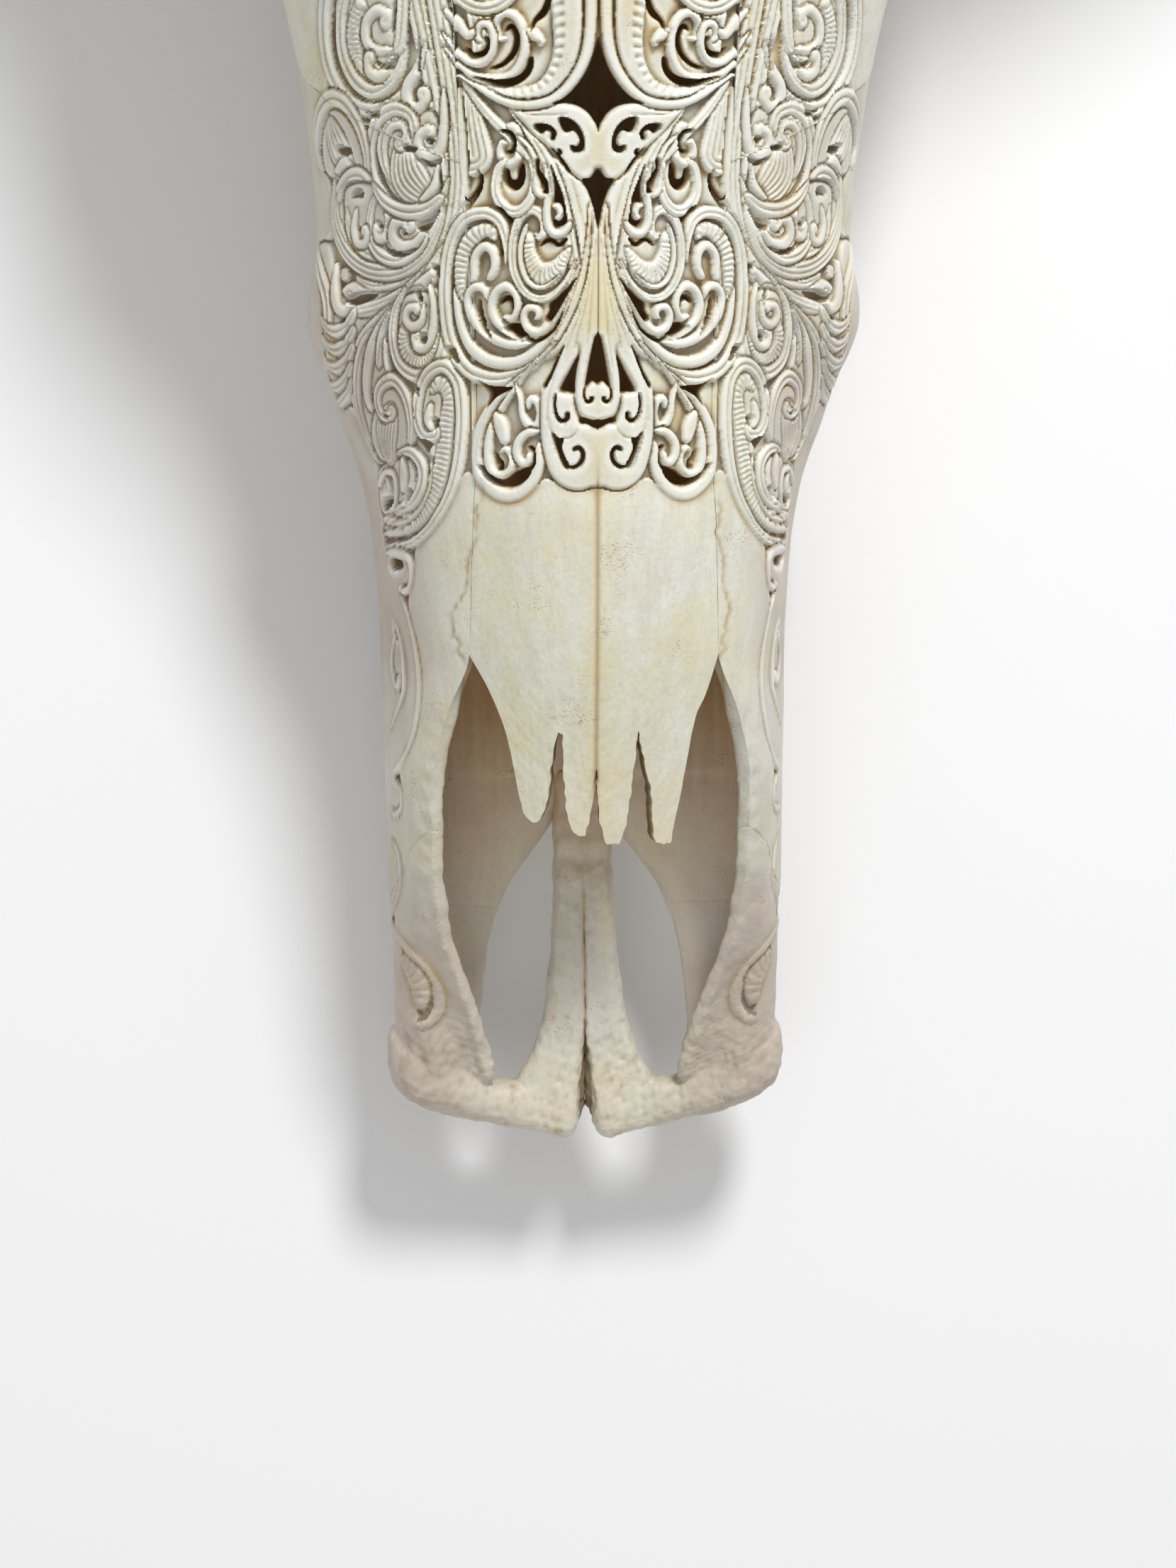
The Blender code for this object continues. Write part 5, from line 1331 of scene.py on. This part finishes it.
def middle_bar():
    """One half of the bar. Towards the front its upper edge draws back from the midline, so that the two
    halves part there in a wavy crevice."""
    y = np.linspace(9, 83.4, 190)
    edge = through(y, *BAR_EDGE)
    low = through(y, (9, 84), (25, 28))
    high = through(y, (9, 30, 84), (31.6, 33, 34))
    turn = np.arange(72) * 2 * np.pi / 72
    outer_c, outer_s = oval_ring(turn, 3.2)
    inner_c, inner_s = oval_ring(turn, 9.0)
    c = np.where(np.cos(turn) > 0, outer_c, inner_c)
    s = np.where(np.cos(turn) > 0, outer_s, inner_s)
    part = through(y, *BAR_PARTS)
    part = part + 0.12 * np.sin(y * 0.9 + np.sin(y * 0.37) * 2) * share((60 - y) / 10)
    gap = part[:, None] * share((s + 0.1) / 0.5) - 0.25
    x = (edge[:, None] + gap) / 2 + c * (edge[:, None] - gap) / 2
    z = (high + low)[:, None] / 2 + s * (high - low)[:, None] / 2
    rings = np.stack([x, np.broadcast_to(y[:, None], x.shape), z], -1)
    step = 0.8 * np.exp(-(((y - 66 + 0.4 * edge) / 2.2) ** 2))
    rings[..., 2] -= share(s) * (0.2 + 0.16 * rough(rings, 4.0, 7) + step[:, None])
    rings[..., 0] -= share(c) * (0.2 + 0.25 * rough(rings, 5.0, 8))
    return closed_tube("bar", rings, 1)


MUZZLE_SQUARE = 0.55
wall = jaw_wall("wall", 1, at_front, seam_beyond, np.linspace(0, 1, 110))
joined = [wall, muzzle_plate(), middle_bar()]
muzzle_points, muzzle_faces = even_copy([one.data for one in joined], MUZZLE_SQUARE)
for one in joined:
    bpy.data.objects.remove(one)
muzzle_points = eased(muzzle_points, muzzle_faces, 2)


def muzzle(side, word):
    """The front bone of one side: the joined body with small hollows all over, deeper on the front plate.
    Its colour layers come from where each point lies."""
    out = square_to(muzzle_points, muzzle_faces)
    x, y, z = muzzle_points.T
    t, _, _, above, facing = on_face(muzzle_points, out)
    carved = share((3 - np.abs(above)) / 1.5) * share((facing - 0.3) * 4)
    carved = carved * share((x - 24) / 4)
    grooves = carving(skin_distance(y, t), y, hollow) * carved
    fine = rough(muzzle_points, 1.9, 51 + side) * 0.5 + rough(muzzle_points, 3.6, 53 + side) * 0.5
    wide = rough(muzzle_points, 9.0, 55 + side)
    porous = share((34 - y) / 14) + share((10 - x) / 2) * 0.5
    points = muzzle_points + out * ((0.05 + 0.2 * porous) * fine + 0.15 * wide)[:, None]
    inner_wall = share((-above - 2.2) / 1.5) * share((x - 14) / 4)
    browned = share((y + 4 * wide - 54) / 14) * 0.8 + 0.25 * share((y - 24) / 20)
    on_bar = share((11 - x) / 1.5) * share((y - 16) / 6)
    # painted shade: the deep crevice between the two halves is coloured brown down the midline, and at the
    # front,
    crevice = 0.8 * np.exp(-((x / 0.4) ** 2)) * share((60 - y) / 6)
    # low down, it counts as a full hollow, so it takes the darkest brown there as painted shade
    cleft_shade = share((1.6 - x) / 0.5) * share((30 - y) / 6) * share(30.6 - z)
    layers = {
        "hollow": np.maximum(np.maximum(grooves, 0.15 * porous * -fine), cleft_shade),
        "inside": np.maximum(inner_wall, browned * on_bar),
        "stain_and_shade": crevice,
        "blush": blush_at(x, y),
    }
    made = put(f"muzzle_{word}", points, muzzle_faces, side, layers)
    print(claimed(made, f"premaxilla_{word}").name, len(made.data.polygons), "faces")


for word, side in SIDES.items():
    muzzle(side, word)

# %% [markdown]
# A buffalo grinds its food with six cheek teeth on each side, the front three smaller. Each tooth is a tall
# block with rounded corners whose outer side is folded into upright pillars, and whose worn face shows
# crescent ridges of enamel. One formula makes all of them: a rounded square with a wave added to its side.

# %% Teeth
TOOTH_START = 141.0
TOOTH_LENGTHS = (17, 19, 20, 25, 28, 30)
TOOTH_BREADTHS = (14, 17, 19, 22, 23, 22)


def cheek_tooth(side, word, count, start, length, breadth):
    """Rings of a squarish oval, one over another, with the fold wave added outwards. They shrink at the worn
    edge, and smaller rings at two depths close the worn face with its crescents."""
    middle = start + length / 2
    outside = line(EDGE_X, middle) - 1.0
    top = line(EDGE_Z, middle) + 5.5
    turn = np.arange(96) * 2 * np.pi / 96
    c, s = oval_ring(turn, 4.5)
    lobes = 2 if count < 3 else 3
    pillars = np.cos(lobes * 2 * np.pi * (s + 1) / 2) * np.abs(c) ** 0.5
    fold = pillars + 0.35 * np.cos(5 * np.pi * s) * np.abs(c)
    z = np.array([top, top * 0.8, top * 0.6, top * 0.4, 4, 2.2, 1.1, 0.45, 0.1, 0])
    shrink = np.array([1.2, 0.6, 0.3, 0.15, 0.05, 0.1, 0.35, 0.8, 1.4, 2.2])
    half_x = breadth / 2 - 0.6 - shrink[:, None]
    half_y = length / 2 - 0.04 - shrink[:, None]
    x = float(outside) - breadth / 2 + c * (half_x + 0.75 * fold * (half_x > 3))
    y = middle + s * half_y
    rings = np.stack([x, y, np.broadcast_to(z[:, None], x.shape)], -1)
    rings[:7] += (0.12 * rough(rings[:7], 4.0, 61 + count))[..., None] * (1, 1, 0)
    near_gum = 0.5 * share((z[:, None] - 3) / top)
    # darker in the folds between the pillars and towards the gum, given to the hollow layer
    fold_and_gum_darkening = np.broadcast_to(0.35 * share(-fold), x.shape) + near_gum
    inner = []
    centre = rings[-1:].mean(1, keepdims=True)
    for k, down in ((0.8, 0.0), (0.68, 0.5), (0.5, 0.5), (0.38, 0.05), (0.25, 0.5), (0.1, 0.6)):
        ring = centre + (rings[-1:] - centre) * k
        ring[..., 2] = down
        inner.append(ring)
    rings = np.concatenate([rings, *inner])
    fold_and_gum_darkening = np.concatenate([fold_and_gum_darkening, np.full((len(inner), len(turn)), 0.4)])
    rows, cols = rings.shape[:2]
    ring = np.arange(cols)
    caps = (ring[::-1], ring + (rows - 1) * cols)
    quads = grid_quads(rows, cols, wrap=True)
    return put(f"cheek_tooth_{count + 1}_{word}", rings, quads, side, {"hollow": fold_and_gum_darkening}, caps)


teeth = []
for word, side in SIDES.items():
    start = TOOTH_START
    for count, (length, breadth) in enumerate(zip(TOOTH_LENGTHS, TOOTH_BREADTHS)):
        made = cheek_tooth(side, word, count, start, length, breadth)
        teeth.append(claimed(made, f"maxilla_{word}"))
        start += length
print(len(teeth), "cheek teeth")

# %% [markdown]
# The bones of the cheek, the forehead and the braincase are such rounded copies.

# %% Cheek, forehead and braincase
HORN_HALF = (43.0, 32.0)
HORN_ROOT = (396.0, 138.0)
CORE_SHARE = ((54, 65, 75.3), (0.84, 0.93, 0.955))


def round_core(points):
    """Draws the faceted stump under the horn onto a round one: points near its surface keep their angle
    round the stump and take the radius of a rounded three-cornered ring, a share of the horn's own."""
    a = -(points[:, 1] - HORN_ROOT[0]) / HORN_HALF[0]
    b = (points[:, 2] - HORN_ROOT[1]) / HORN_HALF[1]
    turn = np.arctan2(b, a)
    radius = np.hypot(a, b)
    goal = np.interp(points[:, 0], *CORE_SHARE) * (1 + 0.09 * np.cos(3 * turn + 0.6))
    near = share((0.17 - np.abs(radius - goal)) / 0.06) * share((points[:, 0] - 56) / 5)
    rounded = radius + near * (goal - radius)
    y = HORN_ROOT[0] - np.cos(turn) * rounded * HORN_HALF[0]
    z = HORN_ROOT[1] + np.sin(turn) * rounded * HORN_HALF[1]
    return np.stack([points[:, 0], y, z], 1)


def rounded_bone(node, square, times, swell=0.0, carve=True, side=1, texture=0.12):
    """A solid's rounded copy. Points less than 2 mm from the face go onto it, raised by the carving; beyond
    4 mm they stay. All of it gets the slight unevenness of bone."""
    points, faces = even_copy([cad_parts[node].data], square)
    points[:, 0] *= side
    if side < 0:
        faces = faces[:, ::-1]
    points = eased(points, faces, times)
    if node.startswith("frontal"):
        points = round_core(points)
        step = np.exp(-(((points[:, 0] - 60) / 7) ** 2)) * share((points[:, 1] - 340) / 10)
        points = eased(points, faces, 60, 0.6, 0.0, np.minimum(1.6 * step, 1)[:, None])
    hollow_here = np.zeros(len(points))
    out = square_to(points, faces)
    if carve:
        t, x, z, above, facing = on_face(points, out)
        weight = share((4 - np.abs(above - swell)) / 2) * share((facing - 0.35) * 4)
        weight = weight * share((3.9 - t) / 0.2)
        rise = swell * np.clip((points[:, 1] - 250) / 18, 0.25, 1)
        u = skin_distance(points[:, 1], t)
        lift = carving(u, points[:, 1], height)
        goal = np.stack([x, points[:, 1], z], 1) + out * (rise + lift)[:, None]
        points = points + weight[:, None] * (goal - points)
        hollow_here = carving(u, points[:, 1], hollow) * weight
    wander = 0.6 * rough(points, 9.0, 11) + 0.4 * rough(points, 3.0, 12)
    points = points + out * (texture * wander)[:, None]
    made = put(node + "_bone", points, faces, side, {"hollow": hollow_here})
    print(claimed(made, node).name, len(made.data.polygons), "faces")


for word, side in SIDES.items():
    rounded_bone(f"lacrimal_{word}", 0.5, 3, 0.4, True, side, 0.06)
    rounded_bone(f"frontal_{word}", 0.85, 8, 1.0, True, side, 0.1)
    rounded_bone(f"zygomatic_{word}", 0.9, 8, 0.0, True, side, 0.1)
rounded_bone("braincase", 1.7, 14, 0, False, 1, 0.3)
rounded_bone("occipital", 1.5, 12, 0, False, 1, 0.3)

# %% [markdown]
# The horns sweep out and back. A horn grows in rings, one below the other, so its sheath is ribbed near the
# root and smooth towards the tip. Its surface is a rounded three-cornered ring carried along a curved path,
# thinner the nearer it comes to the tip, with ribs that are waves along the path.

# %% Horns
# The middle line of the horn from root to tip: its x, y and z
HORN_PATH = (
    (76, 98, 134, 172, 212, 250, 282, 304, 315, 314, 305),
    (396, 398.5, 409, 427, 448, 476, 512, 554, 598, 640, 672),
    (138, 138, 135, 131, 128, 127, 128, 132, 139, 148, 156),
)


def horn(side, word):
    """Rings of radius 1 + 0.09 cos(3 turn + 0.6), set square to the path and scaled by a width that falls
    with (1 - part)^0.62 (1 - 0.12 part), with a sharp-edged wave along the path taken off for the ribs."""
    length = np.concatenate([[0], np.cumsum(np.linalg.norm(np.diff(HORN_PATH), axis=0))])
    part = np.linspace(0, 0.995, 370)
    at = part * length[-1]
    centre = np.stack([through(at, length, row) for row in HORN_PATH], 1)
    ahead = [np.stack([through(at + k, length, row) for row in HORN_PATH], 1) for k in (-8, 8)]
    run = ahead[1] - ahead[0]
    run /= np.linalg.norm(run, axis=1, keepdims=True)
    up = np.array([0, 0, 1.0]) - run * run[:, 2:]
    up /= np.linalg.norm(up, axis=1, keepdims=True)
    across = np.cross(run, up)
    turn = np.arange(96)[None, :] * 2 * np.pi / 96
    size = ((1 - part) ** 0.62 * (1 - 0.12 * part))[:, None]
    swell = size * (1 + 0.09 * np.cos(3 * turn + 0.6))
    wide = HORN_HALF[0] * swell
    high = HORN_HALF[1] * swell * (1 - 0.22 * part[:, None])
    place = at[:, None] + 2.5 * np.sin(turn * 2 + at[:, None] * 0.013) + 0.02 * at[:, None] * np.cos(turn)
    fade = share(1.15 - part[:, None] * 1.5)
    ribs = (0.5 + 0.5 * np.cos(2 * np.pi * place / (17 - 6 * part[:, None]))) ** 2.2
    fine = (0.5 + 0.5 * np.cos(2 * np.pi * place / 2.7)) * 0.3
    ribbed = -(2.1 * ribs + fine) * fade - 0.75
    way = np.cos(turn)[..., None] * across[:, None] + np.sin(turn)[..., None] * up[:, None]
    rings = centre[:, None] + (np.cos(turn) * wide)[..., None] * across[:, None]
    rings = rings + (np.sin(turn) * high)[..., None] * up[:, None]
    rings = rings + way * (ribbed * share(size * 4) + 0.25 * rough(rings, 14.0, 21))[..., None]
    layers = {"along": np.repeat(part[:, None], turn.shape[1], 1)}
    made = closed_tube(f"horn_sheath_{word}", rings, side, layers)
    print(made.name, len(made.data.polygons), "faces")
    return claimed(made, f"horn_{word}", "horn")


horns = [horn(side, word) for word, side in SIDES.items()]

# %% [markdown]
# Bone is never one colour. Clean bone is cream to cool white in soft clouds, it has a fine grain that runs
# along the head, small pores, and brown dirt in the bottom of each cut, made darker there as painted shade.
# These effects serve more than one material, so each is a node group with its own inputs, built once.

# %% Node groups
class Board:
    """A node tree being wired: each call adds a node and joins its inputs to values or outputs."""

    def __init__(self, tree):
        self.tree = tree

    def add(self, kind, inputs=None, **settings):
        node = self.tree.nodes.new(kind)
        for key, value in settings.items():
            setattr(node, key, value)
        for key, value in (inputs or {}).items():
            if isinstance(value, bpy.types.NodeSocket):
                self.tree.links.new(value, node.inputs[key])
            else:
                node.inputs[key].default_value = value
        return node

    def sum(self, operation, a, b=0.0, clamp=False):
        return self.add("ShaderNodeMath", {0: a, 1: b}, operation=operation, use_clamp=clamp).outputs[0]

    def times(self, a, b):
        return self.sum("MULTIPLY", a, b)

    def mix(self, factor, a, b):
        return self.add("ShaderNodeMix", {0: factor, 6: a, 7: b}, data_type="RGBA").outputs[2]

    def span(self, value, low, high, to_low=0.0, to_high=1.0):
        inputs = {0: value, 1: low, 2: high, 3: to_low, 4: to_high}
        return self.add("ShaderNodeMapRange", inputs, clamp=True).outputs[0]

    def noise(self, place, scale, detail=4.0, rough=0.5):
        inputs = {"Vector": place, "Scale": scale, "Detail": detail, "Roughness": rough}
        return self.add("ShaderNodeTexNoise", inputs).outputs["Fac"]


def new_group(name, inputs, outputs):
    """A node group, its board, and what it is given and gives back."""
    group = bpy.data.node_groups.new(name, "ShaderNodeTree")
    for way, sockets in (("INPUT", inputs), ("OUTPUT", outputs)):
        for label, kind in sockets.items():
            group.interface.new_socket(name=label, in_out=way, socket_type=kind)
    board = Board(group)
    return group, board, board.add("NodeGroupInput").outputs, board.add("NodeGroupOutput").inputs


VECTOR = "NodeSocketVector"
FLOAT = "NodeSocketFloat"
COLOUR = "NodeSocketColor"

# Clouds: two soft noises mix three colours
clouds, board, given, result = new_group(
    "soft clouds",
    {"Place": VECTOR, "Scale": FLOAT, "Cream": COLOUR, "White": COLOUR, "Blush": COLOUR},
    {"Colour": COLOUR},
)
wide_noise = board.noise(given["Place"], given["Scale"], 3.0, 0.5)
small_noise = board.noise(given["Place"], board.times(given["Scale"], 3.7), 4.0, 0.6)
first = board.mix(board.span(wide_noise, 0.38, 0.62), given["Cream"], given["White"])
second = board.mix(board.span(small_noise, 0.52, 0.72, 0.0, 0.55), first, given["Blush"])
board.tree.links.new(second, result["Colour"])

# Grain: noise drawn out along the head, fine as a height and a shade, wide as pale streaks
grain, board, given, result = new_group(
    "long grain",
    {"Place": VECTOR, "Scale": FLOAT, "Strength": FLOAT},
    {"Height": FLOAT, "Shade": FLOAT, "Streak": FLOAT},
)
drawn = board.add("ShaderNodeMapping", {"Vector": given["Place"], "Scale": (1.0, 0.07, 1.0)}).outputs[0]
lines = board.noise(drawn, given["Scale"], 3.0, 0.6)
board.tree.links.new(board.times(lines, given["Strength"]), result["Height"])
shade = board.span(lines, 0.35, 0.7, 1.0, 0.0)
board.tree.links.new(board.times(shade, given["Strength"]), result["Shade"])
wide = board.noise(drawn, board.times(given["Scale"], 0.35), 4.0, 0.65)
board.tree.links.new(board.span(wide, 0.42, 0.62), result["Streak"])

# Pores: the middles of small cells, kept only where a wider noise allows them
pores, board, given, result = new_group(
    "pores",
    {"Place": VECTOR, "Scale": FLOAT, "Share": FLOAT},
    {"Pit": FLOAT},
)
cells = board.add("ShaderNodeTexVoronoi", {"Vector": given["Place"], "Scale": given["Scale"]})
pit = board.span(cells.outputs["Distance"], 0.16, 0.34, 1.0, 0.0)
where = board.noise(given["Place"], 90.0, 3.0, 0.6)
low = board.sum("SUBTRACT", 0.75, board.times(given["Share"], 0.5))
allowed = board.span(where, low, board.sum("ADD", low, 0.08))
board.tree.links.new(board.times(pit, allowed), result["Pit"])
print("groups:", [g.name for g in bpy.data.node_groups])

# %% [markdown]
# The materials put these together. A point layer named hollow tells how deep a point lies between its
# neighbours, which was worked out with the carving: there the colour goes to dark brown, for dirt and as
# painted shade, and the ridges are kept paler, partly for wear and partly as painted highlight.

# %% Materials
def group_node(board, group, inputs):
    """Puts a node group on the board and gives its outputs."""
    return board.add("ShaderNodeGroup", inputs, node_tree=group).outputs


def new_material(name):
    """A material, its empty board, and the place of each point on it."""
    material = bpy.data.materials.new(name)
    material.use_nodes = True
    material.node_tree.nodes.clear()
    board = Board(material.node_tree)
    return material, board, board.add("ShaderNodeTexCoord").outputs["Object"]


def finish(board, base, roughness, strength, depth, heights):
    """Ends a material with its colour, its roughness and a bump that is so many metres deep."""
    bump = board.add("ShaderNodeBump", {"Strength": strength, "Distance": depth, "Height": heights})
    inputs = {"Base Color": base, "Roughness": roughness, "Normal": bump.outputs[0]}
    shader = board.add("ShaderNodeBsdfPrincipled", inputs)
    board.add("ShaderNodeOutputMaterial", {"Surface": shader.outputs[0]})


def layer(board, name):
    """The value that a point layer gives each point."""
    return board.add("ShaderNodeAttribute", attribute_name=name).outputs["Fac"]


def along_head(board, place, start, end, low, high):
    """Rises evenly from one distance behind the muzzle to another, in mm."""
    y = board.add("ShaderNodeSeparateXYZ", {0: place}).outputs[1]
    return board.span(y, (start + MUZZLE) * MM, (end + MUZZLE) * MM, low, high)


def bone_material(name, cream, white, blush, roughness, grain_strength=0.6, pore_share=0.3):
    """The layers of bone in turn: clouds, grain and streaks, age, mauve (raised on the right jaw wall as
    painted shade), brown inner walls, paler ridges partly as painted highlight, dirt and painted shade in the
    cuts, stains (with painted shade in the muzzle's crevice), pores and specks."""
    material, board, place = new_material(name)
    hollow_layer = layer(board, "hollow")
    front = along_head(board, place, 42, 84, 1.0, 0.0)
    tones = {"Place": place, "Scale": 22.0, "Cream": cream, "White": white, "Blush": blush}
    colour = group_node(board, clouds, tones)
    lines = group_node(board, grain, {"Place": place, "Scale": 1100.0, "Strength": grain_strength})
    pit = group_node(board, pores, {"Place": place, "Scale": 1500.0, "Share": pore_share})["Pit"]
    streaked = board.mix(board.times(lines["Streak"], 0.42), colour["Colour"], YELLOW)
    base = board.mix(board.times(lines["Shade"], 0.42), streaked, GREY)
    pale = group_node(board, grain, {"Place": place, "Scale": 620.0, "Strength": 0.5})
    base = board.mix(board.times(pale["Streak"], 0.4), base, PALE)
    base = board.mix(board.times(pale["Shade"], 0.45), base, BLUSH)
    aged = board.span(board.noise(place, 42.0, 5.0, 0.65), 0.5, 0.66, 0.0, 0.55)
    yellowed = board.sum("ADD", board.times(layer(board, "yellow"), 0.7), aged, True)
    base = board.mix(yellowed, base, YELLOW)
    mottled = board.noise(place, 950.0, 5.0, 0.7)
    base = board.mix(board.span(mottled, 0.45, 0.75, 0.0, 0.5), base, GREY)
    patchy = board.span(board.noise(place, 55.0, 5.0, 0.65), 0.3, 0.65)
    muzzle = board.mix(patchy, MUZZLE_TONE, MUZZLE_DARK)
    across = board.sum("ABSOLUTE", board.add("ShaderNodeSeparateXYZ", {0: place}).outputs[0])
    greyed = board.times(front, board.span(across, 0.012, 0.028, 0.4, 0.9))
    base = board.mix(greyed, base, muzzle)
    uneven_share = board.sum("ADD", 0.45, board.times(patchy, 0.4))
    # mauve from the blush layer: real colour, raised on the right jaw wall as painted shade
    pink = board.times(layer(board, "blush"), uneven_share)
    base = board.mix(pink, base, MAUVE)
    inner_brown = board.mix(patchy, INNER, INNER_DARK)
    inner_brown = board.mix(board.times(lines["Streak"], 0.4), inner_brown, INNER_PALE)
    depth = board.times(layer(board, "inside"), along_head(board, place, 50, 106, 0.06, 1.0))
    base = board.mix(depth, base, inner_brown)
    warm = board.span(board.noise(place, 48.0, 3.0, 0.6), 0.44, 0.62)
    steeped = board.times(board.span(hollow_layer, 0.03, 0.2, 0.0, 0.75), warm)
    base = board.mix(steeped, base, AMBER)
    # paler on the ridges: partly wear, partly painted highlight where the ridges catch the light
    worn = board.times(board.span(hollow_layer, 0.02, -0.35), 0.7)
    base = board.mix(worn, base, RIDGE)
    # dark brown where the bone lies deep between its neighbours: dirt, made darker as painted shade in the
    # grooves
    settled = board.sum("ADD", 0.55, board.times(patchy, 0.45))
    dirt_and_shade = board.times(board.span(hollow_layer, 0.02, 0.5), settled)
    base = board.mix(dirt_and_shade, base, DIRT_AND_SHADE)
    # the stain layer: real stains along the sutures, and painted shade in the crevice of the muzzle
    base = board.mix(board.times(layer(board, "stain_and_shade"), 0.75), base, STAIN)
    base = board.mix(board.times(pit, 0.4), base, PORE)
    specks = group_node(board, pores, {"Place": place, "Scale": 330.0, "Share": 0.22})["Pit"]
    base = board.mix(board.times(specks, 0.6), base, STAIN)
    rough_value = board.span(hollow_layer, -0.4, 0.5, roughness - 0.08, roughness + 0.2)
    heights = board.sum("SUBTRACT", lines["Height"], board.times(pit, 0.7))
    uneven = board.noise(place, 420.0, 4.0, 0.6)
    swing = board.sum("ADD", 0.7, board.times(front, 1.1))
    heights = board.sum("ADD", heights, board.times(uneven, swing))
    finish(board, base, rough_value, 0.55, 0.0003, heights)
    return material


CREAM = (0.74, 0.745, 0.58, 1)
WHITE = (0.77, 0.785, 0.72, 1)
BLUSH = (0.66, 0.58, 0.47, 1)
YELLOW = (0.74, 0.65, 0.37, 1)
GREY = (0.51, 0.495, 0.44, 1)
MAUVE = (0.47, 0.385, 0.32, 1)
MUZZLE_TONE = (0.62, 0.56, 0.46, 1)
MUZZLE_DARK = (0.48, 0.41, 0.33, 1)
PALE = (0.85, 0.88, 0.80, 1)
INNER = (0.72, 0.43, 0.16, 1)
INNER_DARK = (0.52, 0.26, 0.07, 1)
INNER_PALE = (0.80, 0.64, 0.36, 1)
AMBER = (0.66, 0.47, 0.20, 1)
RIDGE = (0.88, 0.88, 0.82, 1)
STAIN = (0.40, 0.27, 0.11, 1)
# the darkest brown of the grooves: dirt and painted shade
DIRT_AND_SHADE = (0.16, 0.105, 0.05, 1)
PORE = (0.20, 0.14, 0.09, 1)
ENAMEL = ((0.80, 0.72, 0.52, 1), (0.84, 0.80, 0.70, 1), (0.45, 0.30, 0.16, 1))
carved_bone = bone_material("carved bone", CREAM, WHITE, BLUSH, 0.42)
tooth_enamel = bone_material("tooth enamel", *ENAMEL, 0.3, 0.3, 0.1)

HORN_DARK = (0.045, 0.038, 0.032, 1)
HORN_BROWN = (0.075, 0.066, 0.056, 1)
HORN_PALE = (0.12, 0.10, 0.08, 1)
HORN_TIP = (0.014, 0.013, 0.012, 1)
HORN_FIBRE = (0.16, 0.14, 0.11, 1)
horn_material, board, place = new_material("ribbed horn")
along_layer = layer(board, "along")
shades = {"Place": place, "Scale": 30.0, "Cream": HORN_DARK, "White": HORN_BROWN, "Blush": HORN_PALE}
tones = group_node(board, clouds, shades)["Colour"]
lines = group_node(board, grain, {"Place": place, "Scale": 500.0, "Strength": 0.6})
tip = board.span(along_layer, 0.35, 0.95)
base = board.mix(tip, tones, HORN_TIP)
base = board.mix(board.times(lines["Shade"], 0.3), base, HORN_FIBRE)
sheen = board.span(along_layer, 0.1, 0.9, 0.55, 0.22)
finish(board, base, sheen, 0.3, 0.0004, lines["Height"])

for obj in bone_pieces:
    if obj not in teeth:
        obj.data.materials.append(carved_bone)
for obj in teeth:
    obj.data.materials.append(tooth_enamel)
for obj in horns:
    obj.data.materials.append(horn_material)
print("materials:", [m.name for m in bpy.data.materials])

# %% [markdown]
# The skull rests on a plain pale floor under soft light: one large lamp above and in front, a weaker one from
# the other side, and a bright even surround that fills the shadows. The camera stands 800 mm over the nose
# and looks almost straight down on it, with a long lens.

# %% Floor, light and camera
def flat_floor(size):
    """A level square of that size in metres, a hair under the skull."""
    edge = np.linspace(-size / 2, size / 2, 3)
    x, y = np.meshgrid(edge, edge)
    points = np.stack([x, y, np.full_like(x, -0.0002)], -1).reshape(-1, 3)
    mesh = bpy.data.meshes.new("floor")
    mesh.from_pydata(points.tolist(), [], grid_quads(3, 3).reshape(-1, 4).tolist())
    return new_object("floor", mesh)


floor = flat_floor(12.0)
floor_paint = bpy.data.materials.new("pale floor")
floor_paint.use_nodes = True
paint = floor_paint.node_tree.nodes["Principled BSDF"]
paint.inputs["Base Color"].default_value = (0.88, 0.88, 0.89, 1)
paint.inputs["Roughness"].default_value = 0.9
floor.data.materials.append(floor_paint)

world = bpy.data.worlds.new("studio")
bpy.context.scene.world = world
world.use_nodes = True
world.node_tree.nodes["Background"].inputs["Color"].default_value = (1.0, 1.0, 1.0, 1)
world.node_tree.nodes["Background"].inputs["Strength"].default_value = 0.47
bpy.context.scene.view_settings.view_transform = "Standard"


def soft_lamp(name, place, aim, size, power):
    """A round lamp at a place, turned to shine at a point."""
    lamp = bpy.data.lights.new(name, "AREA")
    lamp.shape = "DISK"
    lamp.size = size
    lamp.energy = power
    obj = new_object(name, lamp)
    obj.location = place
    obj.rotation_mode = "QUATERNION"
    obj.rotation_quaternion = (Vector(aim) - Vector(place)).to_track_quat("-Z", "Y")


soft_lamp("key", (0.36, 0.88, 1.22), (0, -0.15, 0.05), 0.4, 20.5)
soft_lamp("fill", (-0.35, -0.9, 1.5), (0, -0.15, 0.05), 1.2, 3.5)

AIM = Vector((-0.29, 80.5 + MUZZLE, 60.0)) * MM
BACK = Vector((-0.0597, 0.0, 1.0)).normalized()
ROLL = -0.0138
CAMERA_AWAY = 0.8
right = Vector((0, 1, 0)).cross(BACK).normalized()
up = BACK.cross(right)
turned_right = right * np.cos(ROLL) + up * np.sin(ROLL)
turned_up = up * np.cos(ROLL) - right * np.sin(ROLL)
lens = bpy.data.cameras.new("camera")
lens.sensor_fit = "VERTICAL"
lens.sensor_height = 36.0
lens.lens = 84.0
lens.clip_start = 0.05
lens.clip_end = 60.0
camera = new_object("camera", lens)
pose = Matrix((turned_right, turned_up, BACK)).transposed().to_4x4()
pose.translation = AIM + BACK * CAMERA_AWAY
camera.matrix_world = pose
bpy.context.scene.camera = camera
print("camera stands", [round(v, 3) for v in pose.translation])
